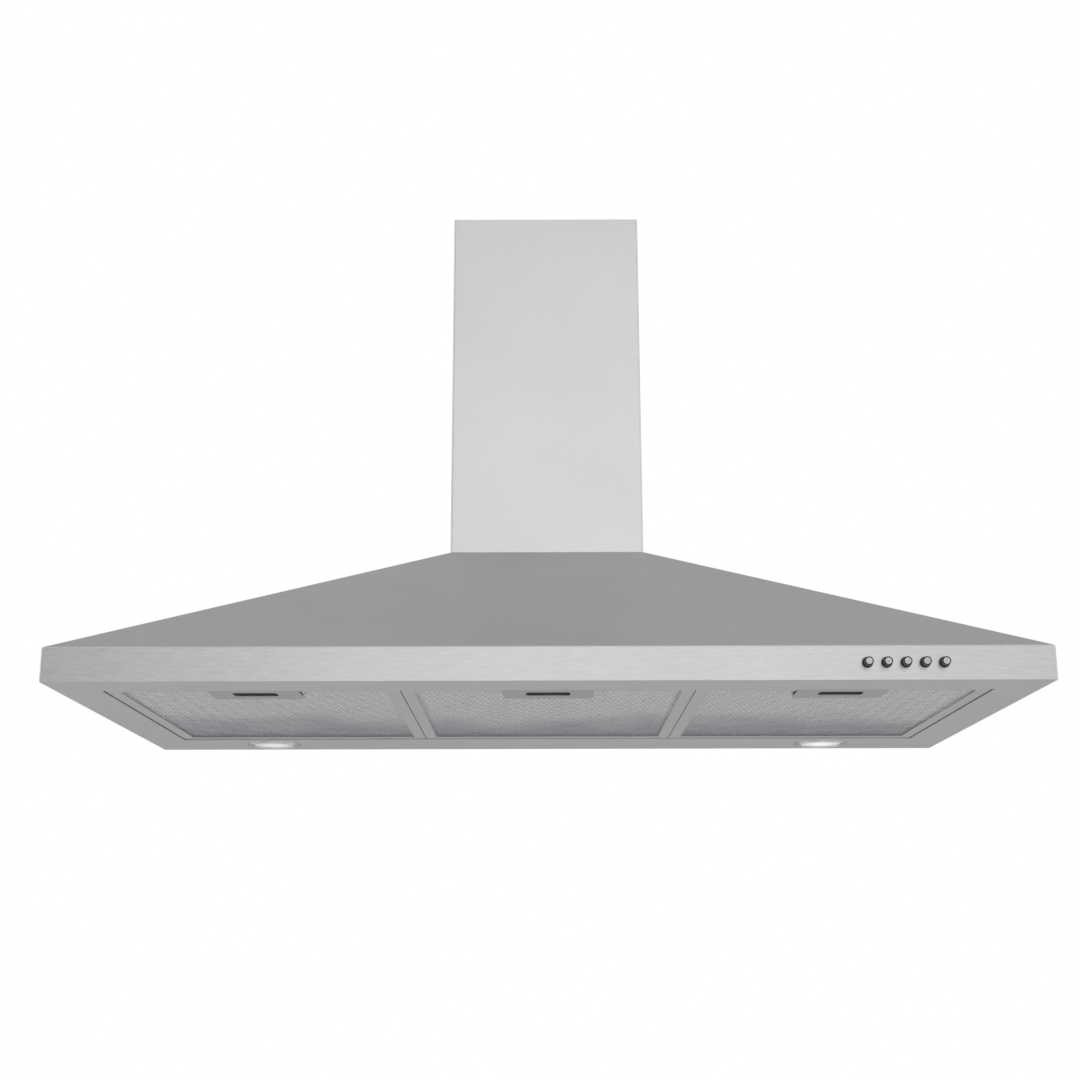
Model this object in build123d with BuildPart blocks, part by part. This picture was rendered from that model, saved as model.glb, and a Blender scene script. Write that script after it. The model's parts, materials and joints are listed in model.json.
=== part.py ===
"""Wall-mounted chimney range hood, 900 mm wide, with mesh filters, lamps, buttons and blower.

Frame: the origin is on the wall plane, at the middle of the rear bottom edge. X runs along
the wall, -Y points away from the wall towards the cook, and Z points up. Millimetres.
"""
from build123d import *
from math import atan2, cos, degrees, pi, radians, sin, sqrt, tan
import os

os.makedirs("parts", exist_ok=True)

# ---------------------------------------------------------------- driving dimensions
# Canopy and chimney outline
hood_width = 900.0
hood_depth = 490.0
lip_height = 31.0
canopy_height = 194.0
chimney_width = 212.0
chimney_depth = 180.0
chimney_height = 398.0
upper_chimney_length = 378.0
upper_chimney_rise = 14.0
chimney_return = 18.0

# Sheet gauges and bend radii
canopy_sheet = 1.0
panel_sheet = 1.0
back_sheet = 1.0
chimney_sheet = 0.8
fold_radius = 2.0
corner_radius = 2.0

# Clearances
seam_gap = 0.2
panel_gap = 0.1
rivet_gap = 0.05
telescope_gap = 0.6
moving_gap = 0.3
running_gap = 0.08
loose_gap = 1.0

# Underside cut-out for the filters
front_strip = 53.5
side_strip = 42.0
rear_strip = 88.0
rim_height = 13.3
seat_flange = 6.0
edge_flange = 10.0

# Filters
filter_count = 3
filter_height = 11.0
filter_recess = 1.0
filter_sheet = 0.6
filter_border = 12.0
filter_end_gap = 1.0
filter_side_gap = 0.8
tab_width = 24.0
tab_reach = 8.3
tab_sheet = 0.8
tab_height = 6.7
tab_spacing = 170.0
mesh_gap = 0.1
mesh_side_gap = 1.0
mesh_columns = 8
mesh_rows = 6
mesh_strand = 5.0

# Filter latch
latch_plate_width = 84.0
latch_plate_depth = 50.7
latch_plate_sheet = 0.8
latch_plate_corner = 6.0
latch_slot_width = 41.0
latch_slot_depth = 19.0
latch_slot_setback = 14.0
latch_wall = 1.2
latch_slot_corner = 3.8
latch_ear = 11.0
latch_ear_lift = 0.7
latch_roof_gap = 2.6
latch_bolt_width = 30.0
latch_bolt_height = 2.5
latch_bolt_rise = 3.0
latch_travel = 4.0
latch_spring_radius = 2.0
latch_spring_wire = 0.5
latch_spring_turns = 5
latch_spring_offset = 6.5
rivet_radius = 1.6
rivet_head_radius = 2.7
rivet_head_height = 0.8
rivet_setback = 6.0
rivet_spread = (22.0, 36.0)

# Lamps
lamp_inset = 136.0
lamp_setback = 46.0
lamp_bezel_radius = 30.0
lamp_lens_radius = 23.0
lamp_hole_radius = 26.0
lamp_body_height = 16.0

# Push buttons
button_count = 5
button_pitch = 17.0
button_inset = 99.8
button_radius = 3.9
button_proud = 9.0
button_travel = 3.0
bezel_radius = 4.9
bezel_shank = 4.4
bezel_proud = 1.2
bezel_depth = 6.0
switch_depth = 24.0
switch_height = 22.0
switch_margin = 12.0

# Blower
impeller_radius = 60.0
impeller_length = 102.0
blade_count = 30
blade_chord = 12.0
blade_sheet = 1.2
scroll_width = 120.0
scroll_wall = 2.0
scroll_step = 14.0
scroll_tongue_gap = 12.0
scroll_rear_gap = 3.0
scroll_floor_gap = 12.0
outlet_rise = 130.0
outlet_margin = 2.0
neck_height = 30.0
tongue_angle = 84.0
tongue_radius = 3.0
inlet_radius = 50.0
motor_radius = 37.0
motor_length = 52.0
shaft_radius = 4.0

# Outlet collar and backdraught flaps
collar_radius = 60.0
collar_wall = 2.0
collar_height = 52.0
collar_flange = 3.0
flap_sheet = 1.5
flap_pin_radius = 2.0
flap_offset = 4.5

# Electrical parts
terminal_width = 90.0
terminal_height = 56.0
terminal_depth = 34.0
terminal_wall = 2.0
gland_thread = 6.0
gland_bore = 3.6
gland_nut = 10.0
gland_nut_height = 6.0
gland_nose = 8.5
gland_nose_height = 9.0
gland_taper = 12.0
capacitor_radius = 15.0
capacitor_length = 62.0
grommet_radius = 10.0
grommet_bore = 6.0
grommet_flange = 3.0
grommet_edge = 1.0

# ---------------------------------------------------------------- worked-out values
half_width = hood_width / 2
half_chimney = chimney_width / 2
rise = canopy_height - lip_height
front_run = hood_depth - chimney_depth
side_run = half_width - half_chimney
front_slope = atan2(rise, front_run)
side_slope = atan2(rise, side_run)
cut_behind = 20.0
cut_past = 10.0

opening_width = hood_width - 2 * side_strip
opening_front = -(hood_depth - front_strip)
opening_rear = -rear_strip
opening_length = opening_rear - opening_front
opening_middle = (opening_front + opening_rear) / 2

filter_width = (opening_width - 2 * filter_end_gap - (filter_count - 1) * filter_side_gap) / filter_count
filter_pitch = filter_width + filter_side_gap
filter_front = opening_front + filter_end_gap
filter_rear = opening_rear - filter_end_gap - tab_sheet
filter_length = filter_rear - filter_front
filter_middle = (filter_front + filter_rear) / 2
filter_top = filter_recess + filter_height
filter_names = ("left", "centre", "right")
filter_places = [(i - (filter_count - 1) / 2) * filter_pitch for i in range(filter_count)]
seat_height = filter_top + moving_gap

latch_rear = filter_front + latch_plate_depth
latch_slot_rear = filter_front + latch_slot_setback + latch_slot_depth
latch_slot_front = filter_front + latch_slot_setback
latch_slot_middle = (latch_slot_front + latch_slot_rear) / 2
latch_floor = filter_recess + moving_gap
latch_top = filter_top - latch_roof_gap
latch_bolt_low = filter_recess + latch_bolt_rise
latch_ear_reach = latch_slot_width / 2 + latch_wall + latch_ear
latch_spring_place = latch_slot_width / 2 + latch_wall + latch_spring_offset

lip_middle = lip_height / 2
first_button = half_width - button_inset - (button_count - 1) * button_pitch
button_places = [first_button + i * button_pitch for i in range(button_count)]
button_middle = first_button + (button_count - 1) * button_pitch / 2
switch_width = (button_count - 1) * button_pitch + 2 * switch_margin

scroll_radius = impeller_radius + scroll_tongue_gap + scroll_step / 2
scroll_rear = -back_sheet - scroll_rear_gap
blower_y = scroll_rear - scroll_radius - 2.5 * scroll_step
blower_z = rim_height + scroll_floor_gap + scroll_radius + 1.5 * scroll_step
outlet_z = blower_z + outlet_rise
outlet_front = scroll_rear - 2 * collar_radius - outlet_margin
outlet_y = (scroll_rear + outlet_front) / 2


def slope_x(z, inward):
    """Half-width of the canopy at height z, moved inward square to the side slope."""
    return half_chimney + (canopy_height - z) / tan(side_slope) - inward / sin(side_slope)


# ================================================================ canopy
# The lip is a plain vertical band; the four-sided pyramid above it ends in an upright
# collar that the chimney drops over. The rear is open towards the wall.
collar_inset = chimney_sheet + moving_gap
collar_rise = 12.0
fold_steps = 3


def skin_inset(z, slope, inward):
    """Distance from the lip's outer face to the skin at height z, moved inward by inward."""
    turn = pi / 2 - slope
    fold_z = lip_height - fold_radius * tan(turn / 2)
    radius = fold_radius - inward
    if z <= fold_z:
        return inward
    if z < fold_z + radius * sin(turn):
        return fold_radius - sqrt(radius**2 - (z - fold_z) ** 2)
    return (z - lip_height) / tan(slope) + inward / sin(slope)


def canopy_section(z, inward):
    """Draws the canopy's outline at height z, reaching past the wall plane.

    The outer skin has rounded corners and the hollow inside it square ones.
    """
    side = half_width - skin_inset(z, side_slope, inward)
    front = -hood_depth + skin_inset(z, front_slope, inward)
    with Locations((0, (front + cut_behind) / 2)):
        if inward:
            Rectangle(2 * side, cut_behind - front)
        else:
            RectangleRounded(2 * side, cut_behind - front, corner_radius)


def canopy_levels(inward):
    """Heights of the sections: the lip, steps around the fold, and the top."""
    turn = pi / 2 - side_slope
    fold_z = lip_height - fold_radius * tan(turn / 2)
    steps = [fold_z + (fold_radius - inward) * sin(turn * i / fold_steps) for i in range(fold_steps)]
    return [0.0, *steps, lip_height + 0.3 * fold_radius, canopy_height]


with BuildPart() as canopy_hollow:
    for level in canopy_levels(canopy_sheet):
        with BuildSketch(Plane.XY.offset(level)):
            canopy_section(level, canopy_sheet)
    loft(ruled=True)
    with BuildSketch(Plane.XY.offset(canopy_height - 3 * canopy_sheet)):
        with Locations((0, (cut_behind - chimney_depth + collar_inset + canopy_sheet) / 2)):
            Rectangle(
                chimney_width - 2 * (collar_inset + canopy_sheet),
                chimney_depth + cut_behind - collar_inset - canopy_sheet,
            )
    extrude(amount=collar_rise + 4 * canopy_sheet)

with BuildPart() as canopy_shell:
    for level in canopy_levels(0.0):
        with BuildSketch(Plane.XY.offset(level)):
            canopy_section(level, 0.0)
    loft(ruled=True)
    with BuildSketch(Plane.XY.offset(canopy_height - 3 * canopy_sheet)):
        with Locations((0, (cut_behind - chimney_depth + collar_inset) / 2)):
            RectangleRounded(
                chimney_width - 2 * collar_inset,
                chimney_depth + cut_behind - collar_inset,
                corner_radius,
            )
    extrude(amount=collar_rise + 3 * canopy_sheet)
    split(bisect_by=Plane.XZ, keep=Keep.TOP)
    add(canopy_hollow.part, mode=Mode.SUBTRACT)
    # the collar stops short of the chimney's rear returns
    with BuildSketch(Plane.XY.offset(canopy_height)):
        Rectangle(chimney_width, 2 * (chimney_sheet + moving_gap))
    extrude(amount=collar_rise, mode=Mode.SUBTRACT)
    # holes for the button bushes in the lip
    with BuildSketch(Plane.XZ.offset(hood_depth - 2 * canopy_sheet)):
        with Locations([(x, lip_middle) for x in button_places]):
            Circle(bezel_shank + panel_gap)
    extrude(amount=3 * canopy_sheet, mode=Mode.SUBTRACT)
canopy_shell.part.label = "canopy_shell"
export_step(canopy_shell.part, "parts/canopy_shell.step")

# ================================================================ back panel
# A pressed tray behind the canopy, with a tongue up behind the blower, wall holes,
# hanging keyholes and the cable hole.
tray_depth = 12.0
tray_top = canopy_height - 6.0
tongue_width = 160.0
tongue_root = 10.0
tongue_top = outlet_z - 6.0
wall_hole_radius = 3.5
wall_hole_x = 300.0
wall_hole_low = 45.0
wall_hole_high = 80.0
keyhole_x = 205.0
keyhole_z = 112.0
keyhole_radius = 6.5
keyhole_slot = 3.2
keyhole_travel = 12.0
grommet_x = -140.0
grommet_z = 140.0
bracket_drop = 68.0
bracket_margin = 14.0
bracket_hole_x = scroll_width / 2 + bracket_margin
bracket_low = blower_z - bracket_drop
bracket_high = outlet_z - bracket_margin
bracket_screws_z = (
    bracket_low + bracket_margin,
    (bracket_low + bracket_high) / 2,
    bracket_high - bracket_margin,
)
screw_radius = 1.95
screw_hole = 2.0


def tray_outline(inward, low, high):
    """Right and left edges of the tray, held inward from the canopy's inner faces."""
    wall_x = half_width - canopy_sheet - inward
    slant_inset = (canopy_sheet + inward) / sin(side_slope)
    knee_z = canopy_height - (wall_x - half_chimney + slant_inset) * tan(side_slope)
    top_x = slope_x(high, canopy_sheet + inward)
    return [(-wall_x, low), (wall_x, low), (wall_x, knee_z), (top_x, high), (-top_x, high), (-wall_x, knee_z)]


with BuildPart() as back_panel:
    with BuildSketch(Plane.XZ) as tray:
        Polygon(*tray_outline(seam_gap, panel_sheet, tray_top), align=None)
        knees = tray.vertices().group_by(Axis.Y)[1]
        fillet(knees, fold_radius)
    extrude(amount=tray_depth)
    with BuildSketch(Plane.XZ.offset(back_sheet)) as tray_hollow:
        Polygon(
            *tray_outline(seam_gap + back_sheet, panel_sheet + back_sheet, tray_top + cut_past),
            align=None,
        )
    extrude(amount=tray_depth, mode=Mode.SUBTRACT)
    with BuildSketch(Plane.XZ):
        with Locations((0, (tray_top - tongue_root + tongue_top) / 2)):
            Rectangle(tongue_width, tongue_top - tray_top + tongue_root)
    extrude(amount=back_sheet)
    with BuildSketch(Plane.XZ):
        with Locations([(s * wall_hole_x, z) for s in (-1, 1) for z in (wall_hole_low, wall_hole_high)]):
            Circle(wall_hole_radius)
        with Locations((-keyhole_x, keyhole_z), (keyhole_x, keyhole_z)):
            Circle(keyhole_radius)
        with Locations([(s * keyhole_x, keyhole_z + keyhole_travel / 2) for s in (-1, 1)]):
            SlotCenterToCenter(keyhole_travel, 2 * keyhole_slot, rotation=90)
        with Locations((grommet_x, grommet_z)):
            Circle(grommet_radius)
        with Locations([(s * bracket_hole_x, z) for s in (-1, 1) for z in bracket_screws_z]):
            Circle(screw_hole)
    extrude(amount=back_sheet, mode=Mode.SUBTRACT)
back_panel.part.label = "back_panel"
export_step(back_panel.part, "parts/back_panel.step")

# ================================================================ underside panel
# A flat pan inside the lip, with an upturned edge, a deep rim around the filter cut-out,
# a seat flange over the filters, slots for the filter tabs and bolts, and two lamp holes.
panel_width = hood_width - 2 * (canopy_sheet + panel_gap)
panel_front = -(hood_depth - canopy_sheet - panel_gap)
bolt_slot_width = latch_bolt_width + 4 * loose_gap
bolt_slot_height = latch_bolt_height + 2 * loose_gap
tab_slot_top = seat_height - 2 * panel_sheet
lamp_places = [-half_width + lamp_inset, half_width - lamp_inset]
with BuildPart() as underside_panel:
    with BuildSketch(Plane.XY):
        with Locations((0, panel_front / 2)):
            Rectangle(panel_width, -panel_front)
    extrude(amount=panel_sheet)
    with BuildSketch(Plane.XY):
        with Locations((0, panel_front / 2)):
            Rectangle(panel_width, -panel_front)
        with Locations((0, (panel_front + panel_sheet) / 2)):
            Rectangle(panel_width - 2 * panel_sheet, -panel_front - panel_sheet, mode=Mode.SUBTRACT)
        with Locations((0, -tray_depth / 2)):
            Rectangle(panel_width, tray_depth + 2 * loose_gap, mode=Mode.SUBTRACT)
        with Locations((button_middle, panel_front)):
            Rectangle(switch_width + 4 * loose_gap, 4 * panel_sheet, mode=Mode.SUBTRACT)
    extrude(amount=panel_sheet + edge_flange)
    vertical = edges().filter_by(Axis.Z).group_by(Axis.Y)[0]
    fillet(vertical.sort_by(Axis.X)[0::len(vertical) - 1], corner_radius - canopy_sheet)
    with BuildSketch(Plane.XY):
        with Locations((0, opening_middle)):
            Rectangle(opening_width + 2 * panel_sheet, opening_length + 2 * panel_sheet)
    extrude(amount=rim_height)
    with BuildSketch(Plane.XY):
        with Locations((0, opening_middle)):
            Rectangle(opening_width, opening_length)
    extrude(amount=seat_height, mode=Mode.SUBTRACT)
    with BuildSketch(Plane.XY.offset(seat_height)):
        with Locations((0, opening_middle)):
            Rectangle(opening_width - 2 * seat_flange, opening_length - 2 * seat_flange)
    extrude(amount=rim_height, mode=Mode.SUBTRACT)
    # slots in the rear rim for the filter tabs
    with BuildSketch(Plane.XY.offset(panel_sheet)):
        slot_y = opening_rear + panel_sheet / 2
        with Locations([(x + s * tab_spacing / 2, slot_y) for x in filter_places for s in (-1, 1)]):
            Rectangle(tab_width + 2 * loose_gap, 2 * panel_sheet)
    extrude(amount=tab_slot_top - panel_sheet, mode=Mode.SUBTRACT)
    # slots in the front rim for the latch bolts
    with BuildSketch(Plane.XZ.offset(-opening_front)):
        with Locations([(x, latch_bolt_low + latch_bolt_height / 2) for x in filter_places]):
            Rectangle(bolt_slot_width, bolt_slot_height)
    extrude(amount=panel_sheet, mode=Mode.SUBTRACT)
    with BuildSketch(Plane.XY):
        with Locations([(x, -lamp_setback) for x in lamp_places]):
            Circle(lamp_hole_radius)
    extrude(amount=panel_sheet, mode=Mode.SUBTRACT)
underside_panel.part.label = "underside_panel"
export_step(underside_panel.part, "parts/underside_panel.step")

# Rails that carry the sheet between the filters: channels open upwards.
rail_width = 20.0
rail_height = 9.0
rail_end_gap = 2.0
rail_length = opening_length - 2 * rail_end_gap
rail_places = {"left": -filter_pitch / 2, "right": filter_pitch / 2}
for side, rail_x in rail_places.items():
    with BuildPart() as rail:
        with BuildSketch(Plane.XY.offset(rim_height)):
            with Locations((rail_x, opening_middle)):
                Rectangle(rail_width, rail_length)
        extrude(amount=rail_height)
        with BuildSketch(Plane.XY.offset(rim_height + panel_sheet)):
            with Locations((rail_x, opening_middle)):
                Rectangle(rail_width - 2 * panel_sheet, rail_length)
        extrude(amount=rail_height, mode=Mode.SUBTRACT)
    rail.part.label = f"filter_rail_{side}"
    export_step(rail.part, f"parts/filter_rail_{side}.step")

# ================================================================ filters
# Each filter is a rolled channel frame with two hook tabs behind, an expanded mesh pack
# and a latch at its front edge. It hangs on its tabs and swings down at the front.
window_width = filter_width - 2 * filter_border
window_length = filter_length - 2 * filter_border
hinge_setback = 0.7
hinge_y = opening_rear - hinge_setback
hinge_z = panel_sheet + moving_gap
mesh_pitch_x = window_width / mesh_columns
mesh_pitch_y = (window_length - latch_plate_depth + filter_border) / mesh_rows
mesh_middle = filter_rear - filter_border - mesh_rows * mesh_pitch_y / 2
diamond_x = (mesh_pitch_x - mesh_strand) / 2
diamond_y = (mesh_pitch_y - mesh_strand) / 2
diamond = [(-diamond_x, 0), (0, -diamond_y), (diamond_x, 0), (0, diamond_y)]
notch_length = latch_plate_depth + 2 * loose_gap
rivet_y = filter_front + rivet_setback

for name, place in zip(filter_names, filter_places):
    rivets = [(place + s * x, rivet_y) for s in (-1, 1) for x in rivet_spread]
    tab_x = [place + s * tab_spacing / 2 for s in (-1, 1)]
    with BuildPart() as filter_frame:
        with BuildSketch(Plane.XY.offset(filter_recess)):
            with Locations((place, filter_middle)):
                Rectangle(filter_width, filter_length)
        extrude(amount=filter_height)
        fillet(edges().filter_by(Axis.Z), corner_radius)
        with BuildSketch(Plane.XY.offset(filter_recess + filter_sheet)):
            with Locations((place, filter_middle)):
                Rectangle(filter_width - 2 * filter_sheet, filter_length - 2 * filter_sheet)
        extrude(amount=filter_height - 2 * filter_sheet, mode=Mode.SUBTRACT)
        with BuildSketch(Plane.XY.offset(filter_recess)):
            with Locations((place, filter_middle)):
                Rectangle(window_width, window_length)
        extrude(amount=filter_height, mode=Mode.SUBTRACT)
        # slot for the bolt in the front web and holes for the latch rivets
        with BuildSketch(Plane.XZ.offset(-filter_front - filter_sheet)):
            with Locations((place, latch_bolt_low + latch_bolt_height / 2)):
                Rectangle(latch_bolt_width + 2 * moving_gap, latch_bolt_height + 2 * moving_gap)
        extrude(amount=filter_sheet, mode=Mode.SUBTRACT)
        with BuildSketch(Plane.XY.offset(filter_recess)):
            with Locations(rivets):
                Circle(rivet_radius + rivet_gap)
        extrude(amount=filter_sheet, mode=Mode.SUBTRACT)
        # bent hook tabs on the rear web
        with BuildSketch(Plane.XY.offset(hinge_z)):
            with Locations([(x, filter_rear + tab_sheet / 2) for x in tab_x]):
                Rectangle(tab_width, tab_sheet)
        extrude(amount=tab_height)
        with BuildSketch(Plane.XY.offset(hinge_z)):
            with Locations([(x, filter_rear + tab_reach / 2) for x in tab_x]):
                Rectangle(tab_width, tab_reach)
        extrude(amount=tab_sheet)
    filter_frame.part.label = f"filter_frame_{name}"
    export_step(filter_frame.part, f"parts/filter_frame_{name}.step")

    with BuildPart() as filter_mesh:
        with BuildSketch(Plane.XY.offset(filter_recess + filter_sheet + mesh_gap)):
            with Locations((place, filter_middle)):
                Rectangle(
                    filter_width - 2 * (filter_sheet + mesh_side_gap),
                    filter_length - 2 * (filter_sheet + mesh_side_gap),
                )
        extrude(amount=filter_height - 2 * (filter_sheet + mesh_gap))
        # notch around the latch, and a seam behind it that parts the strips at its sides
        with BuildSketch(Plane.XY.offset(filter_recess)):
            with Locations((place, filter_front + notch_length / 2)):
                Rectangle(latch_plate_width + 2 * loose_gap, notch_length)
            with Locations((place, filter_front + notch_length - seam_gap / 2)):
                Rectangle(filter_width, seam_gap)
        extrude(amount=filter_height, mode=Mode.SUBTRACT)
        # diamond openings in offset rows, as in expanded sheet
        with BuildSketch(Plane.XY.offset(filter_recess)):
            with Locations((place, mesh_middle)):
                with GridLocations(mesh_pitch_x, mesh_pitch_y, mesh_columns, mesh_rows):
                    Polygon(*diamond, align=None)
                with GridLocations(mesh_pitch_x, mesh_pitch_y, mesh_columns - 1, mesh_rows - 1):
                    Polygon(*diamond, align=None)
        extrude(amount=filter_height, mode=Mode.SUBTRACT)
    filter_mesh.part.label = f"filter_mesh_{name}"
    export_step(filter_mesh.part, f"parts/filter_mesh_{name}.step")

    with BuildPart() as latch_plate:
        with BuildSketch(Plane.XY.offset(filter_recess - latch_plate_sheet)) as plate_outline:
            with Locations((place, filter_front + latch_plate_depth / 2)):
                Rectangle(latch_plate_width, latch_plate_depth)
            fillet(plate_outline.vertices().group_by(Axis.Y)[-1], latch_plate_corner)
            with Locations((place, latch_slot_middle)):
                RectangleRounded(
                    latch_slot_width, latch_slot_depth, latch_slot_corner, mode=Mode.SUBTRACT
                )
            with Locations(rivets):
                Circle(rivet_radius + rivet_gap, mode=Mode.SUBTRACT)
        extrude(amount=latch_plate_sheet)
        # upturned rear edge that the springs push against
        with BuildSketch(Plane.XY.offset(filter_recess)):
            with Locations((place, latch_rear - latch_plate_sheet / 2)):
                Rectangle(latch_plate_width - 2 * latch_plate_corner, latch_plate_sheet)
        extrude(amount=latch_top - filter_recess)
    latch_plate.part.label = f"latch_plate_{name}"
    export_step(latch_plate.part, f"parts/latch_plate_{name}.step")

    with BuildPart() as latch_slider:
        with BuildSketch(Plane.XY.offset(latch_floor)):
            with Locations((place, latch_slot_middle)):
                RectangleRounded(
                    latch_slot_width + 2 * latch_wall,
                    latch_slot_depth + 2 * latch_wall,
                    latch_slot_corner + latch_wall,
                )
        extrude(amount=latch_top - latch_floor)
        # ears that carry the springs
        with BuildSketch(Plane.XY.offset(latch_floor + latch_ear_lift)):
            with Locations((place, latch_slot_rear + latch_wall / 2)):
                Rectangle(2 * latch_ear_reach, latch_wall)
        extrude(amount=latch_top - latch_floor - latch_ear_lift)
        # finger cup
        with BuildSketch(Plane.XY.offset(latch_floor)):
            with Locations((place, latch_slot_middle)):
                RectangleRounded(latch_slot_width, latch_slot_depth, latch_slot_corner)
        extrude(amount=latch_top - latch_floor - latch_wall, mode=Mode.SUBTRACT)
        # bolt that runs forward over the frame flange, with a bevelled nose
        with BuildSketch(Plane.XY.offset(latch_bolt_low)):
            with Locations((place, (opening_front + moving_gap + latch_slot_front - latch_wall / 2) / 2)):
                Rectangle(
                    latch_bolt_width, latch_slot_front - latch_wall / 2 - opening_front - moving_gap
                )
        extrude(amount=latch_bolt_height)
    latch_slider.part.label = f"latch_slider_{name}"
    export_step(latch_slider.part, f"parts/latch_slider_{name}.step")

    spring_start = latch_slot_rear + latch_wall + rivet_gap
    spring_end = latch_rear - latch_plate_sheet - rivet_gap
    spring_length = spring_end - spring_start - latch_spring_wire
    spring_z = (latch_floor + latch_top) / 2 + moving_gap
    with BuildPart() as latch_springs:
        for s in (-1, 1):
            with BuildLine() as coil:
                Helix(
                    pitch=spring_length / latch_spring_turns,
                    height=spring_length,
                    radius=latch_spring_radius - latch_spring_wire / 2,
                    center=(place + s * latch_spring_place, spring_start + latch_spring_wire / 2, spring_z),
                    direction=(0, 1, 0),
                )
            with BuildSketch(Plane(origin=coil.line @ 0, z_dir=coil.line % 0)):
                RegularPolygon(latch_spring_wire / 2, 4)
            sweep(path=coil.line)
    latch_springs.part.label = f"latch_springs_{name}"
    export_step(latch_springs.part, f"parts/latch_springs_{name}.step")

    with BuildPart() as latch_rivets:
        with BuildSketch(Plane.XY.offset(filter_recess - latch_plate_sheet)):
            with Locations(rivets):
                Circle(rivet_radius)
        extrude(amount=latch_plate_sheet + filter_sheet)
        with BuildSketch(Plane.XY.offset(filter_recess + filter_sheet)):
            with Locations(rivets):
                Circle(rivet_head_radius)
        extrude(amount=rivet_head_height)
    latch_rivets.part.label = f"latch_rivets_{name}"
    export_step(latch_rivets.part, f"parts/latch_rivets_{name}.step")

# ================================================================ chimney
# Two channels with rear returns. The upper one slides up inside the lower one.


def chimney_outline(width, rear, front, sheet, side_return):
    """Draws a channel section: front with two bends, two sides and two rear returns."""
    with Locations((0, (front + rear) / 2)):
        Rectangle(width, rear - front)
        Rectangle(width - 2 * sheet, rear - front - 2 * sheet, mode=Mode.SUBTRACT)
    with Locations((0, rear - sheet / 2)):
        Rectangle(width - 2 * side_return, 2 * sheet, mode=Mode.SUBTRACT)
    fillet(vertices().group_by(Axis.Y)[0], corner_radius)
    fillet(vertices().group_by(Axis.Y)[1], corner_radius - sheet)


with BuildPart() as lower_chimney:
    with BuildSketch(Plane.XY.offset(canopy_height)):
        chimney_outline(chimney_width, 0, -chimney_depth, chimney_sheet, chimney_return)
    extrude(amount=chimney_height)
lower_chimney.part.label = "lower_chimney"
export_step(lower_chimney.part, "parts/lower_chimney.step")

nest = chimney_sheet + telescope_gap
upper_width = chimney_width - 2 * nest
upper_front = -chimney_depth + nest
upper_rear = -nest
upper_bottom = canopy_height + upper_chimney_rise
upper_top = upper_bottom + upper_chimney_length
vent_drop = 60.0
vent_count = 6
vent_pitch = 11.0
vent_length = 110.0
vent_height = 4.0
with BuildPart() as upper_chimney:
    with BuildSketch(Plane.XY.offset(upper_bottom)):
        chimney_outline(upper_width, upper_rear, upper_front, chimney_sheet, chimney_return - nest)
    extrude(amount=upper_chimney_length)
    # air slots in both sides near the top
    with BuildSketch(Plane.YZ.offset(-half_chimney)):
        with Locations(((upper_front + upper_rear) / 2, upper_top - vent_drop)):
            with GridLocations(1, vent_pitch, 1, vent_count):
                SlotOverall(vent_length, vent_height)
    extrude(amount=chimney_width, mode=Mode.SUBTRACT)
upper_chimney.part.label = "upper_chimney"
export_step(upper_chimney.part, "parts/upper_chimney.step")

# Strap that ties the upper chimney to the wall, bent forward at both ends.
strap_height = 22.0
strap_sheet = 1.2
strap_ear = 26.0
strap_rear = upper_rear - chimney_sheet
strap_half = upper_width / 2 - chimney_sheet - panel_gap
strap_drop = 27.0
strap_z = upper_top - strap_drop
strap_slot_x = 55.0
strap_slot_length = 16.0
strap_slot_height = 5.0
with BuildPart() as chimney_bracket:
    with BuildSketch(Plane.XY.offset(strap_z)):
        with Locations((0, strap_rear - strap_sheet / 2)):
            Rectangle(2 * strap_half, strap_sheet)
        with Locations([(s * (strap_half - strap_sheet / 2), strap_rear - strap_ear / 2) for s in (-1, 1)]):
            Rectangle(strap_sheet, strap_ear)
    extrude(amount=strap_height)
    with BuildSketch(Plane.XZ.offset(-strap_rear)):
        with Locations([(s * strap_slot_x, strap_z + strap_height / 2) for s in (-1, 1)]):
            SlotOverall(strap_slot_length, strap_slot_height)
    extrude(amount=strap_sheet, mode=Mode.SUBTRACT)
chimney_bracket.part.label = "chimney_bracket"
export_step(chimney_bracket.part, "parts/chimney_bracket.step")

# ================================================================ blower housing
# A volute drawn with four arcs about the corners of a small square, in two halves that
# meet on the middle plane. Its throat widens upwards to the outlet flange.


def volute(top_z):
    """Draws the housing's side outline in the YZ plane, with its neck up to top_z."""
    left = blower_y - scroll_step / 2
    low = blower_z - scroll_step / 2
    right = left + scroll_step
    high = low + scroll_step
    inner, middle, outer, widest = [scroll_radius + i * scroll_step for i in (-1, 0, 1, 2)]
    half_way = (radians(tongue_angle) + pi / 2) / 2
    top = (left, low + middle)
    front = (left - middle, low)
    bottom = (right, low - outer)
    rear = (right + widest, high)
    ThreePointArc(tongue_tip, (left + inner * cos(half_way), high + inner * sin(half_way)), top)
    ThreePointArc(top, (left - middle * cos(pi / 4), low + middle * sin(pi / 4)), front)
    ThreePointArc(front, (right - outer * cos(pi / 4), low - outer * sin(pi / 4)), bottom)
    ThreePointArc(bottom, (right + widest * cos(pi / 4), high - widest * sin(pi / 4)), rear)
    Polyline(
        rear,
        (rear[0], top_z),
        (outlet_front, top_z),
        (outlet_front, outlet_z - neck_height),
        tongue_tip,
    )


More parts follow.
